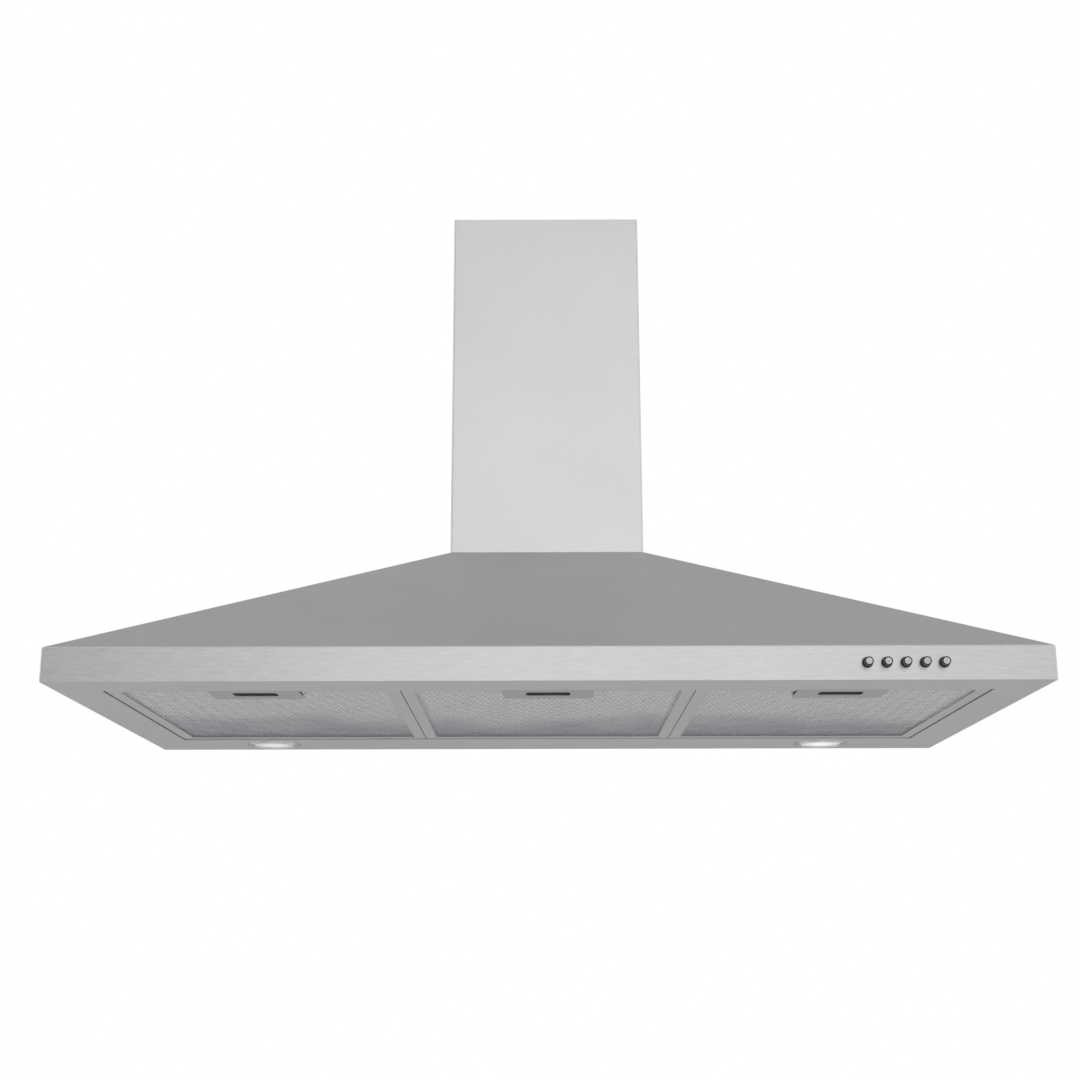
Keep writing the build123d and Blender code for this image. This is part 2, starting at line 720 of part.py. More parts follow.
tongue_tip = (
    blower_y - scroll_step / 2 + (scroll_radius - scroll_step) * cos(radians(tongue_angle)),
    blower_z + scroll_step / 2 + (scroll_radius - scroll_step) * sin(radians(tongue_angle)),
)
half_scroll = scroll_width / 2
flange_reach = 9.0
flange_hole_x = half_scroll + 5.0
flange_hole_y = 45.0
outlet_depth = scroll_rear - outlet_front
arm_hole_radius = inlet_radius + 9.0
side_holes = [(scroll_rear - 22.0, z) for z in (bracket_screws_z[0], bracket_screws_z[-1])]
mouth_roll = 3.0
mouth_depth = 7.0
for side, sign in (("left", -1), ("right", 1)):
    with BuildPart() as scroll_half:
        with BuildSketch(Plane.YZ):
            with BuildLine():
                volute(outlet_z)
            make_face()
            fillet(vertices().sort_by_distance((*tongue_tip, 0))[0], tongue_radius)
        extrude(amount=sign * half_scroll)
        with BuildSketch(Plane.YZ):
            with BuildLine():
                volute(outlet_z + cut_past)
            make_face()
            fillet(vertices().sort_by_distance((*tongue_tip, 0))[0], tongue_radius)
            offset(amount=-scroll_wall)
        extrude(amount=sign * (half_scroll - scroll_wall), mode=Mode.SUBTRACT)
        # outlet flange, half of it on each side
        with BuildSketch(Plane.XY.offset(outlet_z - collar_flange)):
            with Locations((sign * (half_scroll + flange_reach) / 2, outlet_y)):
                Rectangle(half_scroll + flange_reach, outlet_depth + outlet_margin)
            with Locations((sign * (half_scroll - scroll_wall) / 2, outlet_y)):
                Rectangle(
                    half_scroll - scroll_wall,
                    outlet_depth - 2 * scroll_wall,
                    mode=Mode.SUBTRACT,
                )
            with Locations([(sign * flange_hole_x, outlet_y + s * flange_hole_y) for s in (-1, 1)]):
                Circle(screw_hole, mode=Mode.SUBTRACT)
        extrude(amount=collar_flange)
        # bell mouth: a ring that rolls inwards around the inlet
        with BuildSketch(Plane.YZ.offset(sign * (half_scroll - scroll_wall))):
            with Locations((blower_y, blower_z)):
                Circle(inlet_radius + mouth_roll)
        extrude(amount=sign * scroll_wall, mode=Mode.SUBTRACT)
        with BuildSketch(Plane.XZ.offset(-blower_y)):
            with BuildLine():
                rim_x = sign * half_scroll
                roll_x = sign * (half_scroll - mouth_roll)
                lip_x = sign * (half_scroll - mouth_depth)
                crown = mouth_roll * (1 - cos(pi / 4))
                inner_z = blower_z + inlet_radius
                ThreePointArc(
                    (rim_x, inner_z + mouth_roll),
                    (sign * (half_scroll - crown), inner_z + crown),
                    (roll_x, inner_z),
                )
                Polyline(
                    (roll_x, inner_z),
                    (lip_x, inner_z),
                    (lip_x, inner_z + mouth_roll + scroll_wall),
                    (rim_x, inner_z + mouth_roll + scroll_wall),
                    (rim_x, inner_z + mouth_roll),
                )
            make_face()
        revolve(axis=Axis((0, blower_y, blower_z), (1, 0, 0)))
        # screw holes for the side brackets
        with BuildSketch(Plane.YZ.offset(sign * (half_scroll - scroll_wall))):
            with Locations(side_holes):
                Circle(screw_hole)
            if sign > 0:
                with Locations((blower_y, blower_z)):
                    with PolarLocations(arm_hole_radius, 3, start_angle=90):
                        Circle(screw_hole)
        extrude(amount=sign * scroll_wall, mode=Mode.SUBTRACT)
    scroll_half.part.label = f"scroll_{side}"
    export_step(scroll_half.part, f"parts/scroll_{side}.step")

# Side brackets: angles between the back panel and the housing walls.
bracket_sheet = 1.5
bracket_reach = 34.0
bracket_foot = 24.0
bracket_slot_length = 70.0
bracket_slot_width = 14.0
for side, sign in (("left", -1), ("right", 1)):
    with BuildPart() as blower_bracket:
        with BuildSketch(Plane.XY.offset(bracket_low)):
            with Locations((sign * (half_scroll + bracket_sheet / 2), -back_sheet - bracket_reach / 2)):
                Rectangle(bracket_sheet, bracket_reach)
            with Locations((sign * (half_scroll + bracket_foot / 2), -back_sheet - bracket_sheet / 2)):
                Rectangle(bracket_foot, bracket_sheet)
        extrude(amount=bracket_high - bracket_low)
        with BuildSketch(Plane.XZ.offset(back_sheet)):
            with Locations([(sign * bracket_hole_x, z) for z in bracket_screws_z]):
                Circle(screw_hole)
        extrude(amount=bracket_sheet, mode=Mode.SUBTRACT)
        with BuildSketch(Plane.YZ.offset(sign * half_scroll)):
            with Locations(side_holes):
                Circle(screw_hole)
            with Locations((-back_sheet - bracket_reach / 2, (bracket_low + bracket_high) / 2)):
                SlotOverall(bracket_slot_length, bracket_slot_width, rotation=90)
        extrude(amount=sign * bracket_sheet, mode=Mode.SUBTRACT)
    blower_bracket.part.label = f"blower_bracket_{side}"
    export_step(blower_bracket.part, f"parts/blower_bracket_{side}.step")

# Screws of the blower: into the back panel and into the housing.
screw_head = 3.6
screw_head_height = 2.2
screw_inset = 0.2
with BuildPart() as blower_screws:
    for sign in (-1, 1):
        with BuildSketch(Plane.XZ.offset(screw_inset)):
            with Locations([(sign * bracket_hole_x, z) for z in bracket_screws_z]):
                Circle(screw_radius)
        extrude(amount=back_sheet + bracket_sheet - screw_inset)
        with BuildSketch(Plane.XZ.offset(back_sheet + bracket_sheet)):
            with Locations([(sign * bracket_hole_x, z) for z in bracket_screws_z]):
                Circle(screw_head)
        extrude(amount=screw_head_height)
        with BuildSketch(Plane.YZ.offset(sign * (half_scroll - scroll_wall + screw_inset))):
            with Locations(side_holes):
                Circle(screw_radius)
        extrude(amount=sign * (scroll_wall + bracket_sheet - screw_inset))
        with BuildSketch(Plane.YZ.offset(sign * (half_scroll + bracket_sheet))):
            with Locations(side_holes):
                Circle(screw_head)
        extrude(amount=sign * screw_head_height)
blower_screws.part.label = "blower_screws"
export_step(blower_screws.part, "parts/blower_screws.step")

# ================================================================ motor and impeller
motor_inner = 8.0
motor_edge = 4.0
boss_radius = 11.0
boss_height = 3.0
shaft_seat = 20.0
vent_circle = 24.0
motor_vent_count = 10
motor_vent_length = 14.0
motor_vent_width = 4.0
motor_vent_depth = 6.0
motor_outer = motor_inner + motor_length
with BuildPart() as motor:
    with BuildSketch(Plane.YZ.offset(motor_inner)):
        with Locations((blower_y, blower_z)):
            Circle(motor_radius)
    extrude(amount=motor_length)
    fillet(edges().filter_by(GeomType.CIRCLE), motor_edge)
    # bearing boss and shaft bore
    with BuildSketch(Plane.YZ.offset(motor_inner - boss_height)):
        with Locations((blower_y, blower_z)):
            Circle(boss_radius)
    extrude(amount=boss_height)
    with BuildSketch(Plane.YZ.offset(motor_inner - boss_height)):
        with Locations((blower_y, blower_z)):
            Circle(shaft_radius + running_gap)
    extrude(amount=boss_height + shaft_seat + motor_edge, mode=Mode.SUBTRACT)
    # cooling slots around the outer end
    with BuildSketch(Plane.YZ.offset(motor_outer)):
        with Locations((blower_y, blower_z)):
            with PolarLocations(vent_circle, motor_vent_count):
                SlotOverall(motor_vent_length, motor_vent_width)
    extrude(amount=-motor_vent_depth, mode=Mode.SUBTRACT)
motor.part.label = "motor"
export_step(motor.part, "parts/motor.step")

# Three-armed bracket that carries the motor in the right inlet.
arm_width = 12.0
arm_sheet = 1.5
arm_overlap = 15.0
arm_reach = inlet_radius + arm_overlap
arm_hub_radius = 18.0
arm_hub_bore = 8.0
with BuildPart() as motor_bracket:
    with BuildSketch(Plane.YZ.offset(half_scroll)):
        with Locations((blower_y, blower_z)):
            Circle(arm_hub_radius)
            with PolarLocations(arm_reach / 2, 3, start_angle=90):
                Rectangle(arm_reach, arm_width)
    extrude(amount=arm_sheet)
    with BuildSketch(Plane.YZ.offset(half_scroll)):
        with Locations((blower_y, blower_z)):
            Circle(arm_hub_bore)
            with PolarLocations(arm_hole_radius, 3, start_angle=90):
                Circle(screw_hole)
    extrude(amount=arm_sheet, mode=Mode.SUBTRACT)
motor_bracket.part.label = "motor_bracket"
export_step(motor_bracket.part, "parts/motor_bracket.step")

with BuildPart() as motor_screws:
    with BuildSketch(Plane.YZ.offset(half_scroll - scroll_wall + screw_inset)):
        with Locations((blower_y, blower_z)):
            with PolarLocations(arm_hole_radius, 3, start_angle=90):
                Circle(screw_radius)
    extrude(amount=scroll_wall + arm_sheet - screw_inset)
    with BuildSketch(Plane.YZ.offset(half_scroll + arm_sheet)):
        with Locations((blower_y, blower_z)):
            with PolarLocations(arm_hole_radius, 3, start_angle=90):
                Circle(screw_head)
    extrude(amount=screw_head_height)
motor_screws.part.label = "motor_screws"
export_step(motor_screws.part, "parts/motor_screws.step")

hub_radius = 12.0
hub_half = motor_inner - boss_height - moving_gap
disc_sheet = 2.0
ring_sheet = 2.0
with BuildPart() as motor_shaft:
    with BuildSketch(Plane.YZ.offset(-hub_half)):
        with Locations((blower_y, blower_z)):
            Circle(shaft_radius)
    extrude(amount=hub_half + motor_inner + shaft_seat)
motor_shaft.part.label = "motor_shaft"
export_step(motor_shaft.part, "parts/motor_shaft.step")

# Double-inlet impeller: a hub disc, two end rings and forward-curved blades that run
# from ring to ring through the disc.
blade_inner = impeller_radius - blade_chord
blade_belly = 1.6
blade_lean = 5.5
blade_tip = impeller_radius - 0.3
ring_inset = 0.5
disc_inset = 1.0
with BuildSketch() as blade_profile:
    with BuildLine():
        back_arc = ThreePointArc(
            (blade_inner, 0),
            (blade_inner + 0.6 * blade_chord, blade_belly),
            (blade_tip, blade_lean),
        )
        face_arc = ThreePointArc(
            (blade_inner, -blade_sheet),
            (blade_inner + 0.66 * blade_chord, blade_belly - blade_sheet),
            (blade_tip, blade_lean - 1.5 * blade_sheet),
        )
        Line(back_arc @ 0, face_arc @ 0)
        Line(back_arc @ 1, face_arc @ 1)
    make_face()

with BuildPart() as impeller:
    with BuildSketch(Plane.YZ.offset(-disc_sheet / 2)):
        with Locations((blower_y, blower_z)):
            Circle(impeller_radius - disc_inset)
    extrude(amount=disc_sheet)
    with BuildSketch(Plane.YZ.offset(-hub_half)):
        with Locations((blower_y, blower_z)):
            Circle(hub_radius)
    extrude(amount=2 * hub_half)
    for sign in (-1, 1):
        with BuildSketch(Plane.YZ.offset(sign * impeller_length / 2)):
            with Locations((blower_y, blower_z)):
                Circle(impeller_radius)
                Circle(blade_inner - ring_inset, mode=Mode.SUBTRACT)
        extrude(amount=-sign * ring_sheet)
    with BuildSketch(Plane.YZ.offset(-impeller_length / 2 + ring_sheet / 2)):
        with Locations((blower_y, blower_z)):
            with PolarLocations(0, blade_count):
                add(blade_profile.sketch)
    extrude(amount=impeller_length - ring_sheet)
    with BuildSketch(Plane.YZ.offset(-hub_half)):
        with Locations((blower_y, blower_z)):
            Circle(shaft_radius)
    extrude(amount=2 * hub_half, mode=Mode.SUBTRACT)
impeller.part.label = "impeller"
export_step(impeller.part, "parts/impeller.step")

# ================================================================ outlet collar and flaps
collar_bore = collar_radius - collar_wall
flap_z = outlet_z + collar_height / 2
flap_radius = collar_bore - 2 * moving_gap
# each pivot rod ends flush inside the collar's round outside
flap_pin = 2 * (sqrt(collar_radius**2 - (flap_offset + flap_pin_radius) ** 2) - seam_gap)
flange_holes = [
    (s * flange_hole_x, outlet_y + t * flange_hole_y)
    for s in (-1, 1)
    for t in (-1, 1)
]
with BuildPart() as outlet_collar:
    with BuildSketch(Plane.XY.offset(outlet_z)):
        with Locations((0, outlet_y)):
            Rectangle(2 * (half_scroll + flange_reach), outlet_depth + outlet_margin)
    extrude(amount=collar_flange)
    with BuildSketch(Plane.XY.offset(outlet_z)):
        with Locations((0, outlet_y)):
            Circle(collar_radius)
    extrude(amount=collar_height)
    with BuildSketch(Plane.XY.offset(outlet_z)):
        with Locations((0, outlet_y)):
            Circle(collar_bore)
    extrude(amount=collar_height, mode=Mode.SUBTRACT)
    # flange screw holes and flap pin bores
    with BuildSketch(Plane.XY.offset(outlet_z)):
        with Locations(flange_holes):
            Circle(screw_hole)
    extrude(amount=collar_flange, mode=Mode.SUBTRACT)
    with BuildSketch(Plane.XZ.offset(-outlet_y - collar_radius)):
        with Locations([(s * flap_offset, flap_z) for s in (-1, 1)]):
            Circle(flap_pin_radius + running_gap)
    extrude(amount=2 * collar_radius, mode=Mode.SUBTRACT)
outlet_collar.part.label = "outlet_collar"
export_step(outlet_collar.part, "parts/outlet_collar.step")

with BuildPart() as collar_screws:
    with BuildSketch(Plane.XY.offset(outlet_z - collar_flange)):
        with Locations(flange_holes):
            Circle(screw_radius)
    extrude(amount=2 * collar_flange)
    with BuildSketch(Plane.XY.offset(outlet_z + collar_flange)):
        with Locations(flange_holes):
            Circle(screw_head)
    extrude(amount=screw_head_height)
collar_screws.part.label = "collar_screws"
export_step(collar_screws.part, "parts/collar_screws.step")

# Two half-round flaps, each with a moulded pivot rod in the collar wall.
for side, sign in (("left", -1), ("right", 1)):
    with BuildPart() as flap:
        with BuildSketch(Plane.XY.offset(flap_z - flap_sheet / 2)):
            with Locations((0, outlet_y)):
                Circle(flap_radius)
            with Locations((sign * flap_offset - sign * flap_radius, outlet_y)):
                Rectangle(2 * flap_radius, 2 * flap_radius, mode=Mode.SUBTRACT)
        extrude(amount=flap_sheet)
        with BuildSketch(Plane.XZ.offset(-outlet_y - flap_pin / 2)):
            with Locations((sign * flap_offset, flap_z)):
                Circle(flap_pin_radius)
        extrude(amount=flap_pin)
    flap.part.label = f"damper_flap_{side}"
    export_step(flap.part, f"parts/damper_flap_{side}.step")

# ================================================================ lamps
lens_dome = 1.2
lens_rear = 2.4
lens_step = 0.8
lens_flange = lamp_hole_radius - 2.0
bezel_bore = lamp_lens_radius + moving_gap
bezel_sleeve = lamp_hole_radius - moving_gap
bezel_wall = 1.3
bezel_seat = 0.6
bezel_lip = 1.0
bezel_drop = 1.8
bezel_bevel = 1.1
bezel_top = 3.0
fin_count = 6
fin_pitch = 7.0
fin_slot = 3.0
fin_depth = 5.0
for side, lamp_x in zip(("left", "right"), lamp_places):
    lamp_axis = Plane.XZ.offset(lamp_setback).shift_origin((lamp_x, -lamp_setback, 0))
    with BuildPart() as lamp_bezel:
        with BuildSketch(lamp_axis):
            with BuildLine():
                Polyline(
                    (bezel_bore, bezel_seat),
                    (bezel_bore, -bezel_lip),
                    (bezel_bore + bezel_bevel, -bezel_drop),
                    (lamp_bezel_radius - bezel_drop, -bezel_drop + seam_gap),
                    (lamp_bezel_radius, 0.0),
                    (bezel_sleeve, 0.0),
                    (bezel_sleeve, bezel_top),
                    (bezel_sleeve - bezel_wall, bezel_top),
                    (bezel_sleeve - bezel_wall, bezel_seat),
                    close=True,
                )
            make_face()
        revolve(axis=Axis((lamp_x, -lamp_setback, 0), (0, 0, 1)))
    lamp_bezel.part.label = f"lamp_bezel_{side}"
    export_step(lamp_bezel.part, f"parts/lamp_bezel_{side}.step")

    with BuildPart() as lamp_lens:
        with BuildSketch(lamp_axis):
            with BuildLine():
                Line((0, lens_rear), (0, -lens_dome))
                RadiusArc((0, -lens_dome), (lamp_lens_radius, 0), -lamp_lens_radius**2 / (2 * lens_dome))
                Polyline((lamp_lens_radius, 0), (lamp_lens_radius, lens_step), (lens_flange, lens_step))
                Polyline((lens_flange, lens_step), (lens_flange, lens_rear), (0, lens_rear))
            make_face()
        revolve(axis=Axis((lamp_x, -lamp_setback, 0), (0, 0, 1)))
    lamp_lens.part.label = f"lamp_lens_{side}"
    export_step(lamp_lens.part, f"parts/lamp_lens_{side}.step")

    with BuildPart() as lamp_body:
        with BuildSketch(Plane.XY.offset(bezel_top)):
            with Locations((lamp_x, -lamp_setback)):
                Circle(bezel_sleeve - panel_gap)
        extrude(amount=lamp_body_height)
        fillet(edges().group_by(Axis.Z)[-1], corner_radius)
        # slots between the fins of the heat sink
        with BuildSketch(Plane.XY.offset(bezel_top + lamp_body_height - fin_depth)):
            with Locations((lamp_x, -lamp_setback)):
                with GridLocations(fin_pitch, 1, fin_count, 1):
                    Rectangle(fin_slot, 2 * lamp_bezel_radius)
        extrude(amount=fin_depth, mode=Mode.SUBTRACT)
    lamp_body.part.label = f"lamp_body_{side}"
    export_step(lamp_body.part, f"parts/lamp_body_{side}.step")

# ================================================================ buttons
# Round push buttons that run in bushes in the lip and in bores of the switch housing.
button_edge = 1.2
bezel_edge = 0.4
cap_length = 14.5
stem_radius = 2.5
stem_length = 10.5
cap_rear = hood_depth + button_proud - cap_length
stem_end = cap_rear - stem_length
for i, button_x in enumerate(button_places, start=1):
    with BuildPart() as button:
        with BuildSketch(Plane.XZ.offset(cap_rear)):
            with Locations((button_x, lip_middle)):
                Circle(button_radius)
        extrude(amount=cap_length)
        fillet(edges().filter_by(GeomType.CIRCLE).group_by(Axis.Y)[0], button_edge)
        with BuildSketch(Plane.XZ.offset(stem_end)):
            with Locations((button_x, lip_middle)):
                Circle(stem_radius)
        extrude(amount=stem_length)
    button.part.label = f"button_{i}"
    export_step(button.part, f"parts/button_{i}.step")

with BuildPart() as button_bezels:
    with BuildSketch(Plane.XZ.offset(hood_depth)):
        with Locations([(x, lip_middle) for x in button_places]):
            Circle(bezel_radius)
    extrude(amount=bezel_proud)
    fillet(edges().filter_by(GeomType.CIRCLE).group_by(Axis.Y)[0], bezel_edge)
    with BuildSketch(Plane.XZ.offset(hood_depth - bezel_depth)):
        with Locations([(x, lip_middle) for x in button_places]):
            Circle(bezel_shank)
    extrude(amount=bezel_depth)
    with BuildSketch(Plane.XZ.offset(hood_depth - bezel_depth)):
        with Locations([(x, lip_middle) for x in button_places]):
            Circle(button_radius + running_gap)
    extrude(amount=bezel_depth + bezel_proud, mode=Mode.SUBTRACT)
button_bezels.part.label = "button_bezels"
export_step(button_bezels.part, "parts/button_bezels.step")

switch_front = hood_depth - canopy_sheet
switch_rear = switch_front - switch_depth
with BuildPart() as switch_housing:
    with BuildSketch(Plane.XZ.offset(switch_rear)):
        with Locations((button_middle, lip_middle)):
            RectangleRounded(switch_width, switch_height, corner_radius)
    extrude(amount=switch_depth)
    with BuildSketch(Plane.XZ.offset(hood_depth - bezel_depth - moving_gap - button_travel)):
        with Locations([(x, lip_middle) for x in button_places]):
            Circle(bezel_radius)
    extrude(amount=bezel_depth + button_travel, mode=Mode.SUBTRACT)
    with BuildSketch(Plane.XZ.offset(stem_end - button_travel - moving_gap)):
        with Locations([(x, lip_middle) for x in button_places]):
            Circle(stem_radius + running_gap)
    extrude(amount=stem_length + button_travel, mode=Mode.SUBTRACT)
switch_housing.part.label = "switch_housing"
export_step(switch_housing.part, "parts/switch_housing.step")

blade_spacing = 8.0
blade_width = 4.8
blade_thickness = 0.8
blade_length = 7.0
with BuildPart() as switch_terminals:
    with BuildSketch(Plane.XZ.offset(switch_rear)):
        with Locations(
            [(x, lip_middle + s * blade_spacing / 2) for x in button_places for s in (-1, 1)]
        ):
            Rectangle(blade_thickness, blade_width)
    extrude(amount=-blade_length)
switch_terminals.part.label = "switch_terminals"
export_step(switch_terminals.part, "parts/switch_terminals.step")

# ================================================================ electrical parts
terminal_x = -205.0
terminal_top = 74.0
terminal_z = terminal_top - terminal_height / 2
terminal_corner = 3.0
gland_y = -back_sheet - terminal_depth / 2
gland_hole = gland_thread + panel_gap
plug_depth = 3.0
with BuildPart() as terminal_box:
    with BuildSketch(Plane.XZ.offset(back_sheet)):
        with Locations((terminal_x, terminal_z)):
            RectangleRounded(terminal_width, terminal_height, terminal_corner)
    extrude(amount=terminal_depth)
    with BuildSketch(Plane.XZ.offset(back_sheet + terminal_wall)):
        with Locations((terminal_x, terminal_z)):
            RectangleRounded(
                terminal_width - 2 * terminal_wall,
                terminal_height - 2 * terminal_wall,
                terminal_corner - terminal_wall,
            )
    extrude(amount=terminal_depth, mode=Mode.SUBTRACT)
    with BuildSketch(Plane.YZ.offset(terminal_x + terminal_width / 2 - terminal_wall)):
        with Locations((gland_y, terminal_z)):
            Circle(gland_hole)
    extrude(amount=terminal_wall, mode=Mode.SUBTRACT)
terminal_box.part.label = "terminal_box"
export_step(terminal_box.part, "parts/terminal_box.step")

with BuildPart() as terminal_cover:
    with BuildSketch(Plane.XZ.offset(back_sheet + terminal_depth)):
        with Locations((terminal_x, terminal_z)):
            RectangleRounded(terminal_width, terminal_height, terminal_corner)
    extrude(amount=terminal_wall)
    with BuildSketch(Plane.XZ.offset(back_sheet + terminal_depth)):
        with Locations((terminal_x, terminal_z)):
            RectangleRounded(
                terminal_width - 2 * (terminal_wall + seam_gap),
                terminal_height - 2 * (terminal_wall + seam_gap),
                terminal_corner - terminal_wall,
            )
    extrude(amount=-plug_depth)
terminal_cover.part.label = "terminal_cover"
export_step(terminal_cover.part, "parts/terminal_cover.step")

gland_x = terminal_x + terminal_width / 2
with BuildPart() as cable_gland:
    with BuildSketch(Plane.YZ.offset(gland_x)):
        with Locations((gland_y, terminal_z)):
            RegularPolygon(gland_nut, 6)
    extrude(amount=gland_nut_height)
    with BuildSketch(Plane.YZ.offset(gland_x + gland_nut_height)):
        with Locations((gland_y, terminal_z)):
            Circle(gland_nose)
    extrude(amount=gland_nose_height, taper=gland_taper)
    with BuildSketch(Plane.YZ.offset(gland_x - terminal_wall - plug_depth)):
        with Locations((gland_y, terminal_z)):
            Circle(gland_thread)
    extrude(amount=terminal_wall + plug_depth)
    with BuildSketch(Plane.YZ.offset(gland_x - terminal_wall - plug_depth)):
        with Locations((gland_y, terminal_z)):
            Circle(gland_bore)
    extrude(
        amount=terminal_wall + plug_depth + gland_nut_height + gland_nose_height, mode=Mode.SUBTRACT
    )
cable_gland.part.label = "cable_gland"
export_step(cable_gland.part, "parts/cable_gland.step")

capacitor_x = 175.0
capacitor_z = 60.0
capacitor_edge = 1.5
tag_spacing = 10.0
tag_width = 6.3
tag_length = 9.0
clip_sheet = 1.0
clip_width = 14.0
clip_inner = capacitor_radius + panel_gap
capacitor_y = -back_sheet - clip_sheet - clip_inner
with BuildPart() as run_capacitor:
    with BuildSketch(Plane.YZ.offset(capacitor_x)):
        with Locations((capacitor_y, capacitor_z)):
            Circle(capacitor_radius)
    extrude(amount=capacitor_length)
    fillet(edges().filter_by(GeomType.CIRCLE), capacitor_edge)
    with BuildSketch(Plane.YZ.offset(capacitor_x)):
        with Locations([(capacitor_y + s * tag_spacing / 2, capacitor_z) for s in (-1, 1)]):
            Rectangle(blade_thickness, tag_width)
    extrude(amount=-tag_length)
run_capacitor.part.label = "run_capacitor"
export_step(run_capacitor.part, "parts/run_capacitor.step")

with BuildPart() as capacitor_clip:
    with BuildSketch(Plane.YZ.offset(capacitor_x + (capacitor_length - clip_width) / 2)):
        with Locations((capacitor_y, capacitor_z)):
            Circle(clip_inner + clip_sheet)
            Circle(clip_inner, mode=Mode.SUBTRACT)
        with Locations((capacitor_y - capacitor_radius, capacitor_z)):
            Rectangle(capacitor_radius, 2 * capacitor_radius, mode=Mode.SUBTRACT)
        with Locations((-back_sheet - clip_sheet / 2, capacitor_z)):
            Rectangle(clip_sheet, 4 * capacitor_radius)
    extrude(amount=clip_width)
capacitor_clip.part.label = "capacitor_clip"
export_step(capacitor_clip.part, "parts/capacitor_clip.step")

with BuildPart() as cable_grommet:
    with BuildSketch(Plane.XZ):
        with Locations((grommet_x, grommet_z)):
            Circle(grommet_radius - panel_gap)
    extrude(amount=back_sheet)
    with BuildSketch(Plane.XZ.offset(back_sheet)):
        with Locations((grommet_x, grommet_z)):
            Circle(grommet_radius + grommet_flange)
    extrude(amount=grommet_flange)
    fillet(edges().filter_by(GeomType.CIRCLE).group_by(Axis.Y)[0], grommet_edge)
    with BuildSketch(Plane.XZ):
        with Locations((grommet_x, grommet_z)):
            Circle(grommet_bore)
    extrude(amount=back_sheet + grommet_flange, mode=Mode.SUBTRACT)
cable_grommet.part.label = "cable_grommet"
export_step(cable_grommet.part, "parts/cable_grommet.step")

print("filter", round(filter_width, 2), "x", round(filter_length, 2))
print("filter hinge axis at y", round(hinge_y, 2), "z", round(hinge_z, 2))
print("side slope", round(degrees(side_slope), 2), "front slope", round(degrees(front_slope), 2))
print("blower centre", round(blower_y, 2), round(blower_z, 2), "outlet z", round(outlet_z, 2))
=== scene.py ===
"""A wall-mounted chimney range hood, dressed and lit for the photograph's view.

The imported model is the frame: each sheet, filter, lamp, button and blower part stays where it
says.  This script gives every one of them its finish, and models what a plain solid can't show:
the expanded mesh and the coil springs of the grease filters, the lamps' glass and trim, and the
push buttons with their caps.
"""

from __future__ import annotations

import json
import logging
import math
from dataclasses import dataclass
from enum import Enum

import bmesh
import bpy
from bmesh.types import BMesh
from bpy.types import Material, Node, NodeSocket, NodeTree, Object
from mathutils import Matrix, Vector

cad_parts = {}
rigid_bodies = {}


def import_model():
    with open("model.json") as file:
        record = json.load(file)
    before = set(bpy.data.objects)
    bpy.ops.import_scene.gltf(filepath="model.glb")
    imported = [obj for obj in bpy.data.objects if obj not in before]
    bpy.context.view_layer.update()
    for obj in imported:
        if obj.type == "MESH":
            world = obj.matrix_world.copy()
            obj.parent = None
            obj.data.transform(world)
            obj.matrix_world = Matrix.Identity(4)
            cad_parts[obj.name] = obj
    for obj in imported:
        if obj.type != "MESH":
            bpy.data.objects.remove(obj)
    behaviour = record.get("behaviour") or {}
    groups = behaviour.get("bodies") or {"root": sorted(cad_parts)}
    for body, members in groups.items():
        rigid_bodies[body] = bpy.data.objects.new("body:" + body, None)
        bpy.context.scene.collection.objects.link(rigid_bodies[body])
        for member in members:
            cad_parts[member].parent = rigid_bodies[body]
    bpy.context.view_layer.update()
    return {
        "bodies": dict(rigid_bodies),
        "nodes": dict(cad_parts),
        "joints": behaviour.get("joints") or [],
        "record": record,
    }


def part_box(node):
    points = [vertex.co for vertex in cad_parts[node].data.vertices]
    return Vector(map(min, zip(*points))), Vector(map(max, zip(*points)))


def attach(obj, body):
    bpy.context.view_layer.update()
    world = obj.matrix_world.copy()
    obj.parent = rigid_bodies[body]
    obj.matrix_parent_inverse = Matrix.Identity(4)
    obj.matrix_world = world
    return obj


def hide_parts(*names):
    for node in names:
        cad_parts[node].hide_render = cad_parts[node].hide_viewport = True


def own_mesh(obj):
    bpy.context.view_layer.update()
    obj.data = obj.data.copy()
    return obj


LOG = logging.getLogger("range_hood")

Pair = tuple[float, float]
Point = tuple[float, float, float]

MM = 0.001
# Points of a mesh that are nearer than this are one point.
TOUCH = MM / 100
PHOTO_PIXELS = 1080
FORWARD = Vector((0, -1, 0))
DOWN = Vector((0, 0, -1))
UP = Vector((0, 0, 1))
# Creases sharper than this stay sharp.
CREASE = math.radians(35)
# Noise keeps near its middle, so this much of it is taken as its whole range.
NOISE = {"From Min": 0.3, "From Max": 0.7}
WHOLE = {"From Min": 0.0, "From Max": 1.0}
# How much each finer layer of noise weighs against the one before.
LAYER_WEIGHT = 0.55


class Side(Enum):
    """Where one of three filters or two lamps hangs, seen from the front."""

    LEFT = "left"
    CENTRE = "centre"
    RIGHT = "right"


# --- Small helpers ---


def linear(code: str) -> tuple[float, float, float, float]:
    """Turns an sRGB hex colour into the linear values that a shader takes.

    Args:
        code: six hex digits after a hash sign.

    Returns:
        Red, green, blue and an alpha of one.
    """
    channels = [int(code[i : i + 2], 16) / 255 for i in (1, 3, 5)]
    red, green, blue = [c / 12.92 if c <= 0.04045 else ((c + 0.055) / 1.055) ** 2.4 for c in channels]
    return red, green, blue, 1.0


